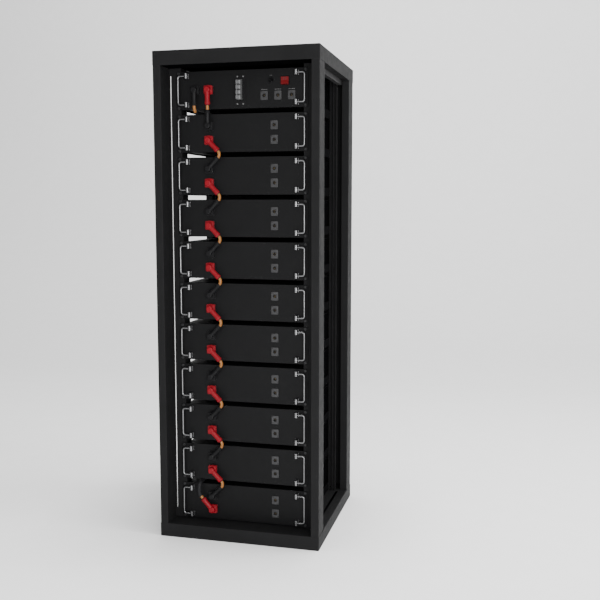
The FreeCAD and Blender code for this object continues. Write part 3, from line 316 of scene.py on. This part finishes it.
def dress_cad_nodes():
    """Gives every carried-over CAD node its material."""
    for name, piece in NODES.items():
        for material_slot in piece.material_slots:
            material_slot.material = cad_material(name)


# Mesh tools --------------------------------------------------------------------------

def smooth(mesh, sharp_degrees=32.0):
    """Smooth shading with creases at sharp edges."""
    for face in mesh.polygons:
        face.use_smooth = True
    mesh.set_sharp_from_angle(angle=radians(sharp_degrees))
    return mesh


def to_mesh(bm, name):
    """Finished mesh from a bmesh, which is freed."""
    bmesh.ops.remove_doubles(bm, verts=bm.verts, dist=1e-7)
    bmesh.ops.recalc_face_normals(bm, faces=bm.faces)
    mesh = bpy.data.meshes.new(name)
    bm.to_mesh(mesh)
    bm.free()
    return smooth(mesh)


def lathe(name, profile, segments=48, axis="Y"):
    """Closed turned shape. The profile is (radius, place along the axis) in millimetres,
    from the axis to the axis."""
    bm = bmesh.new()
    rings = []
    for radius, along in profile:
        if radius < 1e-9:
            rings.append([bm.verts.new(on_axis(0.0, 0.0, along, axis))])
            continue
        ring = []
        for step in range(segments):
            turn = 2.0 * pi * step / segments
            ring.append(bm.verts.new(on_axis(radius * cos(turn), radius * sin(turn),
                                             along, axis)))
        rings.append(ring)
    for first, second in zip(rings, rings[1:]):
        bridge(bm, first, second, segments)
    return to_mesh(bm, name)


def on_axis(across, up, along, axis):
    """Point in metres with one coordinate along an axis and two across it."""
    if axis == "X":
        return (along * MM, across * MM, up * MM)
    if axis == "Y":
        return (across * MM, along * MM, up * MM)
    return (across * MM, up * MM, along * MM)


def bridge(bm, first, second, segments):
    """Faces between two rings, either of which may be a single point."""
    for step in range(segments):
        following = (step + 1) % segments
        corners = []
        for ring, order in ((first, (step, following)), (second, (following, step))):
            if len(ring) == 1:
                corners.append(ring[0])
            else:
                corners += [ring[index] for index in order]
        if len(corners) >= 3:
            bm.faces.new(corners)


def rounded_rectangle(width, height, corner, x=0.0, z=0.0, steps=6):
    """Outline of a rectangle with round corners, in millimetres."""
    points = []
    for quarter in range(4):
        cx = (width / 2 - corner) * (1 if quarter in (0, 3) else -1)
        cz = (height / 2 - corner) * (1 if quarter in (0, 1) else -1)
        for step in range(steps + 1):
            turn = pi / 2 * (quarter + step / steps)
            points.append((x + cx + corner * cos(turn), z + cz + corner * sin(turn)))
    return points


def circle(radius, x=0.0, z=0.0, steps=40):
    """Outline of a circle, in millimetres."""
    return [(x + radius * cos(2 * pi * step / steps), z + radius * sin(2 * pi * step / steps))
            for step in range(steps)]


def plate(name, outlines, y_front, y_back, bevel=0.3, bevel_steps=2):
    """Flat piece that faces -Y, from an outline and the outlines of its holes, with
    softened edges. Sizes in millimetres."""
    curve = bpy.data.curves.new(name, "CURVE")
    curve.dimensions = "2D"
    curve.fill_mode = "BOTH"
    for outline in outlines:
        spline = curve.splines.new("POLY")
        spline.points.add(len(outline) - 1)
        for point, (x, z) in zip(spline.points, outline):
            point.co = (x * MM, z * MM, 0.0, 1.0)
        spline.use_cyclic_u = True
    curve.bevel_depth = bevel * MM
    curve.bevel_resolution = bevel_steps
    curve.offset = -bevel * MM
    curve.extrude = ((y_back - y_front) / 2 - bevel) * MM
    carrier = bpy.data.objects.new(name, curve)
    bpy.context.scene.collection.objects.link(carrier)
    bpy.context.view_layer.update()
    mesh = bpy.data.meshes.new_from_object(
        carrier.evaluated_get(bpy.context.evaluated_depsgraph_get()))
    bpy.data.objects.remove(carrier)
    bpy.data.curves.remove(curve)
    mesh.transform(Matrix.Translation((0.0, (y_front + y_back) / 2 * MM, 0.0))
                   @ Matrix.Rotation(pi / 2, 4, "X"))
    bm = bmesh.new()
    bm.from_mesh(mesh)
    bpy.data.meshes.remove(mesh)
    return to_mesh(bm, name)


def block(name, low, high, bevel=0.3, segments=2):
    """Box between two corners in millimetres, with rounded edges."""
    bm = bmesh.new()
    bmesh.ops.create_cube(bm, size=1.0)
    size = [(b - a) * MM for a, b in zip(low, high)]
    centre = [(a + b) / 2 * MM for a, b in zip(low, high)]
    bmesh.ops.scale(bm, vec=size, verts=bm.verts)
    bmesh.ops.translate(bm, vec=centre, verts=bm.verts)
    bmesh.ops.bevel(bm, geom=bm.edges[:], offset=bevel * MM, segments=segments,
                    profile=0.5, affect="EDGES")
    return to_mesh(bm, name)


def joined(name, parts):
    """One mesh from meshes, each with a matrix to place it."""
    bm = bmesh.new()
    for mesh, matrix in parts:
        copy = mesh.copy()
        copy.transform(matrix)
        bm.from_mesh(copy)
        bpy.data.meshes.remove(copy)
    mesh = bpy.data.meshes.new(name)
    bm.to_mesh(mesh)
    bm.free()
    return smooth(mesh)


def combined(name, mesh, other, operation):
    """Boolean of two meshes."""
    base = bpy.data.objects.new(name, mesh)
    tool = bpy.data.objects.new(name + "_tool", other)
    for made in (base, tool):
        bpy.context.scene.collection.objects.link(made)
    modifier = base.modifiers.new("boolean", "BOOLEAN")
    modifier.operation = operation
    modifier.solver = "EXACT"
    modifier.object = tool
    bpy.context.view_layer.update()
    result = bpy.data.meshes.new_from_object(
        base.evaluated_get(bpy.context.evaluated_depsgraph_get()))
    bpy.data.objects.remove(base)
    bpy.data.objects.remove(tool)
    result.name = name
    return smooth(result)


def shift(x=0.0, y=0.0, z=0.0):
    """Matrix that moves by millimetres."""
    return Matrix.Translation((x * MM, y * MM, z * MM))


def spin(degrees):
    """Matrix that turns +X up towards +Z, as seen from the front."""
    return Matrix.Rotation(-radians(degrees), 4, "Y")


def place(name, mesh, material, x, y, z, turn=0.0, body=CABINET, stands_for=None):
    """Puts a piece in the row frame, in millimetres, and makes it ride on its body."""
    piece = bpy.data.objects.new(name, mesh)
    if not mesh.materials:
        mesh.materials.append(material)
    bpy.context.scene.collection.objects.link(piece)
    piece.matrix_world = shift(x, y, z) @ spin(turn)
    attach(piece, body)
    if stands_for:
        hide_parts(stands_for)
    return piece


# Power plugs -------------------------------------------------------------------------

def plug_base_mesh(name):
    """Square shell next to the panel: two rims with a groove between them, a latch on
    top and grip ribs on both sides."""
    parts = [plate(name, [rounded_rectangle(31.0, 31.0, 4.0)], -5.6, 0.0, 0.5),
             plate(name, [rounded_rectangle(29.4, 29.4, 3.6)], -6.8, -5.2, 0.1),
             plate(name, [rounded_rectangle(31.0, 31.0, 4.0)], -11.0, -6.4, 1.1, 4),
             block(name, (-6.0, -9.6, 14.6), (6.0, -2.0, 16.2), 0.6),
             block(name, (-4.0, -8.6, 15.9), (4.0, -7.4, 16.8), 0.3),
             block(name, (-4.0, -6.0, 15.9), (4.0, -4.8, 16.8), 0.3)]
    for side in (-1, 1):
        for row in range(5):
            z = (row - 2) * 4.0
            x = side * 15.5
            parts.append(block(name, (x - 0.7, -10.0, z - 0.9), (x + 0.7, -7.4, z + 0.9), 0.3))
    return joined(name, [(part, IDENTITY) for part in parts])


def rounded_end(radius, face, rounding, steps=6):
    """Profile points of a filleted rim, from the flat face outwards."""
    points = []
    for step in range(steps + 1):
        turn = pi / 2 * step / steps
        points.append((radius - rounding + rounding * sin(turn),
                       face + rounding - rounding * cos(turn)))
    return points


def plug_elbow_mesh(name):
    """Round elbow with a domed rim and a sunk cap in front, and the tail's tube."""
    elbow = lathe(name, [(0.0, -26.1), (6.4, -26.1), (6.8, -26.5)]
                  + rounded_end(11.5, -26.5, 4.2)
                  + [(11.5, -12.6), (12.6, -12.0), (12.6, -9.5), (0.0, -9.5)], 64)
    tail = lathe(name, [(0.0, 0.0), (9.0, 0.0), (9.0, 15.0), (9.35, 15.4), (9.35, 17.4),
                        (9.0, 17.8), (8.8, 36.0), (9.0, 38.6), (9.5, 39.0), (9.5, 43.6),
                        (9.1, 44.0), (0.0, 44.0)], 64, "X")
    tail.transform(shift(0.0, TAIL_Y, 0.0))
    return combined(name, elbow, tail, "UNION")


def plug_nut_mesh(name):
    """Ribbed gland nut at the tail's end, with a tapered nose."""
    ribs = 18
    bm = bmesh.new()
    rings = []
    stations = [(44.0, 9.0, 0.0), (44.3, 9.3, 0.5), (49.6, 9.3, 0.5), (50.2, 9.1, 0.0),
                (52.6, 7.5, 0.0), (TAIL_END, 6.9, 0.0), (TAIL_END, 6.1, 0.0)]
    for along, radius, rib in stations:
        ring = []
        for step in range(ribs * 4):
            reach = radius + (rib if step % 4 in (1, 2) else 0.0)
            turn = 2 * pi * step / (ribs * 4)
            ring.append(bm.verts.new((along * MM, reach * cos(turn) * MM + TAIL_Y * MM,
                                      reach * sin(turn) * MM)))
        rings.append(ring)
    for first, second in zip(rings, rings[1:]):
        bridge(bm, first, second, ribs * 4)
    bm.faces.new(rings[0])
    bm.faces.new(rings[-1])
    return to_mesh(bm, name)


def plug_seal_mesh(name):
    """Rubber lip round the lead where it enters the plug."""
    seal = lathe(name, [(0.0, 52.4), (7.0, 52.4), (7.0, 53.2), (6.5, 54.3), (5.8, 54.9),
                        (0.0, 54.9)], 48, "X")
    seal.transform(shift(0.0, TAIL_Y, 0.0))
    return seal


def unit_sockets(unit):
    """Places of a unit's negative and positive plugs."""
    middle = unit_bottom(unit) + PANEL_MIDDLE
    if unit == 0:
        return ((CONTROL_NEGATIVE_X, middle), (SOCKET_X, middle))
    return ((SOCKET_X, middle + SOCKET_OFFSET), (SOCKET_X, middle - SOCKET_OFFSET))


def positive_angle(unit):
    """Way that a red plug's tail points, in degrees up from +X."""
    return {0: -90.0, LAST_UNIT: RETURN_PLUG_ANGLE}.get(unit, -JUMPER_ANGLE)


def negative_angle(unit):
    """Way that a black plug's tail points, in degrees up from +X."""
    return {0: -90.0, 1: 90.0}.get(unit, JUMPER_ANGLE)


def make_plugs():
    """Two plugs with seals on every unit."""
    y = PANEL_FRONT - PLUG_SETBACK
    seal = plug_seal_mesh("plug_seal")
    for polarity, pick, paint, angle_of in (("red", 1, RED_PLASTIC, positive_angle),
                                            ("black", 0, BLACK_PLASTIC, negative_angle)):
        base = plug_base_mesh(f"plug_{polarity}_base")
        elbow = plug_elbow_mesh(f"plug_{polarity}_elbow")
        nut = plug_nut_mesh(f"plug_{polarity}_nut")
        stands_for = f"plugs_{polarity}"
        for unit in range(len(UNIT_NODES)):
            x, z = unit_sockets(unit)[pick]
            turn = angle_of(unit)
            tag = f"{polarity}_{unit + 1:02d}"
            place(f"plug_base_{tag}", base, paint, x, y, z, 0.0, CABINET,
                  stands_for)
            place(f"plug_elbow_{tag}", elbow, paint, x, y, z, turn, CABINET,
                  stands_for)
            place(f"plug_nut_{tag}", nut, paint, x, y, z, turn, CABINET,
                  stands_for)
            place(f"plug_seal_{tag}", seal, RUBBER, x, y, z, turn)


# Data ports --------------------------------------------------------------------------

def screw_mesh(name, radius, height, drive):
    """Pan-head screw that faces -Y, with a cross recess."""
    head = lathe(name, [(0.0, -height), (radius * 0.55, -height), (radius * 0.86, -height * 0.72),
                        (radius, -height * 0.2), (radius, 0.3), (0.0, 0.3)], 32)
    for wide, tall in ((drive, drive * 0.24), (drive * 0.24, drive)):
        arm = block(name, (-wide, -height - 1.0, -tall), (wide, -height * 0.35, tall), 0.05, 1)
        head = combined(name, head, arm, "DIFFERENCE")
    return head


def port_meshes():
    """Flange with a turned lip round its bore, two small screws, and a keyed insert."""
    flange = plate("port_flange", [rounded_rectangle(26.0, 31.0, 3.0), circle(6.9)],
                   -2.5, 0.0, 0.45, 3)
    lip = lathe("port_lip", [(5.95, 2.4), (5.95, -2.9), (6.2, -3.1), (7.9, -3.1), (8.3, -2.7),
                             (8.3, -2.2), (6.8, -2.2), (6.8, 2.4), (5.95, 2.4)], 48)
    screw = screw_mesh("port_screw", 2.1, 0.9, 1.3)
    insert = lathe("port_insert", [(0.0, 1.9), (4.6, 1.9), (4.7, 1.2), (5.3, 1.2), (5.3, 1.9),
                                   (5.9, 1.9), (5.9, 2.45), (0.0, 2.45)], 40)
    pin = lathe("port_pin", [(0.0, -0.6), (0.3, -0.5), (0.42, -0.2), (0.42, 2.0), (0.0, 2.0)], 12)
    metal = joined("port_metal_part", [(flange, IDENTITY), (lip, IDENTITY)])
    screws = joined("port_screws", [(screw, shift(-9.6, -2.5, 12.0)),
                                    (screw, shift(9.6, -2.5, -12.0))])
    pins = [(pin, IDENTITY)]
    for step in range(7):
        turn = 2 * pi * (step + 0.75) / 7.5
        pins.append((pin, shift(3.0 * cos(turn), 0.0, 3.0 * sin(turn))))
    return metal, screws, insert, joined("port_pins", pins)


def unit_ports(unit):
    """Places of a unit's data ports."""
    bottom = unit_bottom(unit)
    if unit == 0:
        return [(x, bottom + CONTROL_PORT_Z) for x in CONTROL_PORT_XS]
    return [(PORT_X, bottom + PANEL_MIDDLE + SOCKET_OFFSET),
            (PORT_X, bottom + PANEL_MIDDLE - SOCKET_OFFSET)]


def make_ports():
    """Detail on every data port. The control box has darker flanges."""
    metal, screws, insert, pins = port_meshes()
    for unit in range(len(UNIT_NODES)):
        flange_metal = PORT_METAL_DARK if unit == 0 else PORT_METAL
        for letter, (x, z) in zip("abc", unit_ports(unit)):
            tag = f"{unit + 1:02d}_{letter}"
            place(f"port_body_{tag}", metal, flange_metal, x, PANEL_FRONT, z,
                  0.0, CABINET, "data_ports")
            place(f"port_screws_{tag}", screws, BLACK_SCREW, x, PANEL_FRONT, z)
            place(f"port_insert_{tag}", insert, PORT_INSERT, x,
                  PANEL_FRONT, z)
            place(f"port_pins_{tag}", pins, GOLD, x, PANEL_FRONT, z)


# Control box marks and breaker details -----------------------------------------------

def strokes(name, places, thickness=0.12):
    """Thin printed marks: (x, z, width, height) of each, in millimetres."""
    sunk = 0.02
    rounding = 0.04
    parts = []
    for x, z, wide, tall in places:
        mark = block(name, (x - wide / 2, -thickness, z - tall / 2),
                     (x + wide / 2, sunk, z + tall / 2), rounding, 1)
        parts.append((mark, IDENTITY))
    return joined(name, parts)


def dashes(x, z, lengths, height=1.5, gap=1.4):
    """A row of short dashes centred on a place, such as a printed caption."""
    total = sum(lengths) + gap * (len(lengths) - 1)
    left = x - total / 2
    made = []
    for length in lengths:
        made.append((left + length / 2, z, length, height))
        left += length + gap
    return made


def make_marks():
    """Dashes for the captions above the control box's button and ports."""
    above_button = 17.0
    above_port = 20.5
    control = dashes(BUTTON_X, BUTTON_Z + above_button, (2.5, 4.0), 1.2)
    for x in CONTROL_PORT_XS:
        control += dashes(x, CONTROL_PORT_Z + above_port, (5.0, 3.0, 6.0, 3.5))
    place("control_marks", strokes("control_marks", control), MARK_PAINT,
          0.0, PANEL_FRONT, unit_bottom(0))


def make_bezel_screw_faces():
    """Bright slotted faces on the four screws round the breaker."""
    head = screw_mesh("bezel_screw_face", 2.9, 0.5, 1.6)
    spots = [(head, shift(side * BEZEL_SCREW_X, 0.0, height)) for side in (-1, 1)
             for height in (-BEZEL_SCREW_Z, BEZEL_SCREW_Z)]
    place("bezel_screw_faces", joined("bezel_screw_faces", spots), DULL_STEEL,
          BREAKER_X, PANEL_FRONT - BEZEL_SCREW_PROUD, unit_bottom(0) + BREAKER_Z)


def make_rocker_marks():
    """Two dark bars moulded into the rocker's upper facet."""
    facet_depth = 2.6
    facet_rise = 6.4
    low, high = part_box("rocker_switch")
    x = (low.x + high.x) / 2 / MM
    z = (low.z + high.z) / 2 / MM
    bar = block("bar", (-0.9, -0.25, -4.0), (0.9, 0.3, 4.0), 0.1, 1)
    bars = joined("rocker_marks", [(bar, shift(side * 3.2)) for side in (-1, 1)])
    place("rocker_marks", bars, MARK_DARK, x, low.y / MM + facet_depth,
          z + facet_rise, 0.0, "rocker_switch")


# Small hardware ----------------------------------------------------------------------

def make_pin_caps():
    """Domed ends on the handles' hinge pins."""
    cap = lathe("pin_cap", [(0.0, 1.0), (0.9, 0.92), (1.7, 0.62), (2.3, 0.15), (2.4, 0.0),
                            (0.0, 0.0)], 24, "Z")
    flipped = Matrix.Rotation(pi, 4, "X")
    parts = []
    for unit in range(len(UNIT_NODES)):
        middle = unit_bottom(unit) + PANEL_MIDDLE
        for x in (-PIVOT_X, PIVOT_X):
            for z in (middle - PIVOT_SPACING / 2, middle + PIVOT_SPACING / 2):
                parts.append((cap, shift(x, 0.0, z + PIN_HALF_LENGTH)))
                parts.append((cap, shift(x, 0.0, z - PIN_HALF_LENGTH) @ flipped))
    place("hinge_pin_caps", joined("hinge_pin_caps", parts), STEEL, 0.0,
          PANEL_FRONT + PIVOT_Y, 0.0)


def make_case_sides():
    """Thin sheets over the side walls, and lid flanges with their screws, on every unit's case,
    all in a near-black paint as painted shade.
    """
    front = PANEL_FRONT + LID_FLANGE_SETBACK
    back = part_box("battery_module_05")[1].y / MM - 1.0
    flange = block("case_flange", (0.0, front, LID_FLANGE_BOTTOM),
                   (LID_FLANGE_THICKNESS, back, LID_FLANGE_TOP), 0.25)
    # Painted shade: a thin dark sheet over the case's side wall.
    wall = block("case_side_shade_sheet", (0.0, front, 1.0), (SHADE_SHEET_THICKNESS, back, LID_FLANGE_BOTTOM), 0.1)
    screw = screw_mesh("case_screw", 2.6, 1.0, 1.5)
    outward = Matrix.Rotation(pi / 2, 4, "Z")
    parts = [(flange, shift(CASE_HALF_WIDTH)), (wall, shift(CASE_HALF_WIDTH))]
    screw_step = (back - front - 2.0 * LID_SCREW_MARGIN) / (LID_SCREWS - 1)
    screw_z = (LID_FLANGE_BOTTOM + LID_FLANGE_TOP) / 2
    for column in range(LID_SCREWS):
        y = front + LID_SCREW_MARGIN + column * screw_step
        parts.append((screw, shift(CASE_HALF_WIDTH + LID_FLANGE_THICKNESS, y, screw_z)
                      @ outward))
    right = joined("case_side_right", parts)
    left = right.copy()
    left.transform(Matrix.Scale(-1.0, 4, (1.0, 0.0, 0.0)))
    left.flip_normals()
    left.name = "case_side_left"
    for unit in range(len(UNIT_NODES)):
        for side, mesh in (("right", right), ("left", left)):
            place(f"case_side_{side}_{unit + 1:02d}", mesh, SHADE_PAINT,
                  0.0, 0.0, unit_bottom(unit))


def make_cover_underside():
    """Dark sheet without gloss under the top cover, clear of the posts and the rails: painted
    shade on the cover's underside.
    """
    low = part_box("top_cover")[0]
    front = low.y / MM + SHADE_SHEET_INSET
    depth = -2.0 * front
    between_posts = -low.x / MM - POST_WIDTH - 1.0
    between_rails = 224.0
    front_depth = POST_DEPTH - 4.0
    shade_sheets = [((-between_posts, 0.0, -SHADE_SHEET_THICKNESS), (between_posts, front_depth, 0.0)),
             ((-between_rails, front_depth, -SHADE_SHEET_THICKNESS),
              (between_rails, depth - POST_DEPTH, 0.0))]
    coat = joined("cover_underside", [(block("coat", start, end, 0.05, 1), IDENTITY)
                                      for start, end in shade_sheets])
    place("cover_underside", coat, SHADE_PAINT, 0.0, front, low.z / MM)


def make_back_screws():
    """Screws along the edges of the back panel."""
    low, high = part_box("back_panel")
    screw = screw_mesh("back_screw", 4.2, 0.9, 2.4)
    facing_back = Matrix.Rotation(pi, 4, "Z")
    parts = []
    bottom = low.z / MM + BACK_SCREW_MARGIN_Z
    top = high.z / MM - BACK_SCREW_MARGIN_Z
    for row in range(BACK_SCREW_ROWS):
        z = bottom + (top - bottom) * row / (BACK_SCREW_ROWS - 1)
        for x in (low.x / MM + BACK_SCREW_MARGIN_X, high.x / MM - BACK_SCREW_MARGIN_X):
            parts.append((screw, shift(x, 0.0, z) @ facing_back))
    place("back_panel_screws", joined("back_panel_screws", parts), BLACK_SCREW,
          0.0, high.y / MM, 0.0)


def make_sleeve_collar():
    """Shrink collar where the sleeve starts on the lower orange end."""
    collar = lathe("sleeve_collar", [(6.6, 0.0), (7.1, 0.4), (7.1, 9.0), (6.6, 10.0),
                                     (5.6, 10.2), (5.6, 0.0), (6.6, 0.0)], 48, "X")
    x, z = unit_sockets(LAST_UNIT)[1]
    reach = TAIL_END + LOWER_ORANGE_RUN - COLLAR_OVERLAP
    turn = RETURN_PLUG_ANGLE
    place("sleeve_collar", collar, RUBBER,
          x + reach * cos(radians(turn)), PANEL_FRONT - PLUG_SETBACK + TAIL_Y,
          z + reach * sin(radians(turn)), turn)


# Studio ------------------------------------------------------------------------------

def make_backdrop():
    """Pale floor that sweeps up into a wall far behind the cabinet, in metres."""
    bend_radius = 5.0
    bend_steps = 24
    wall_y = 9.0
    wall_top = 16.0
    floor_front = -14.0
    half_width = 18.0
    profile = [(floor_front, 0.0), (wall_y - bend_radius, 0.0)]
    for step in range(1, bend_steps + 1):
        turn = pi / 2 * step / bend_steps
        profile.append((wall_y - bend_radius + bend_radius * sin(turn),
                        bend_radius - bend_radius * cos(turn)))
    profile.append((wall_y, wall_top))
    bm = bmesh.new()
    columns = [[bm.verts.new((x, y, z)) for y, z in profile]
               for x in (-half_width, half_width)]
    for index in range(len(profile) - 1):
        bm.faces.new((columns[0][index], columns[1][index], columns[1][index + 1],
                      columns[0][index + 1]))
    mesh = to_mesh(bm, "studio_floor")
    if mesh.polygons[0].normal.z < 0:
        mesh.flip_normals()
    floor = bpy.data.objects.new("studio_floor", mesh)
    mesh.materials.append(surface("studio_paper", (0.90, 0.90, 0.90), 0.75, spread=0.01,
                                  rough_spread=0.03, grain_scale=400.0,
                                  grain_depth=0.00002))
    bpy.context.scene.collection.objects.link(floor)


def area_light(name, place_at, aim_at, size, power):
    """White soft light at a place in metres, aimed at another place."""
    data = bpy.data.lights.new(name, "AREA")
    data.shape = "RECTANGLE"
    data.size, data.size_y = size
    data.energy = power
    lamp = bpy.data.objects.new(name, data)
    lamp.location = place_at
    direction = Vector(aim_at) - Vector(place_at)
    lamp.rotation_euler = direction.to_track_quat("-Z", "Y").to_euler()
    bpy.context.scene.collection.objects.link(lamp)


def make_lights():
    """Even room light, a key light from the right, two lights from above that give the
    shadow on the floor, a low fill light and a light on the wall."""
    world = bpy.data.worlds.new("studio_world")
    bpy.context.scene.world = world
    world.use_nodes = True
    background = world.node_tree.nodes["Background"]
    background.inputs["Color"].default_value = (1.0, 1.0, 1.0, 1.0)
    background.inputs["Strength"].default_value = 0.85
    area_light("key_light", (4.6, -1.6, 4.2), (0.0, 0.0, 0.8), (3.0, 3.0), 130.0)
    area_light("top_light", (0.12, 0.0, 5.2), (0.12, 0.001, 0.0), (1.3, 1.3), 200.0)
    area_light("ground_light", (2.8, 0.3, 3.6), (0.5, -0.2, 0.0), (2.0, 2.0), 130.0)
    area_light("fill_light", (2.2, -4.9, 1.3), (0.0, -0.3, 0.9), (2.5, 2.0), 280.0)
    area_light("backdrop_light", (0.5, 2.6, 6.0), (0.5, 9.0, 6.0), (10.0, 2.0), 560.0)


def make_camera():
    """Camera at standing height, in front and to the right of the cabinet."""
    data = bpy.data.cameras.new("main_camera")
    data.lens = 51.05
    data.sensor_width = 36.0
    camera = bpy.data.objects.new("main_camera", data)
    camera.location = (0.938, -3.120, 1.220)
    camera.rotation_euler = (radians(83.575), 0.0, radians(14.06))
    bpy.context.scene.collection.objects.link(camera)
    bpy.context.scene.camera = camera


make_camera()
dress_cad_nodes()
make_plugs()
make_ports()
make_marks()
make_bezel_screw_faces()
make_rocker_marks()
make_pin_caps()
make_case_sides()
make_cover_underside()
make_back_screws()
make_sleeve_collar()
make_backdrop()
make_lights()
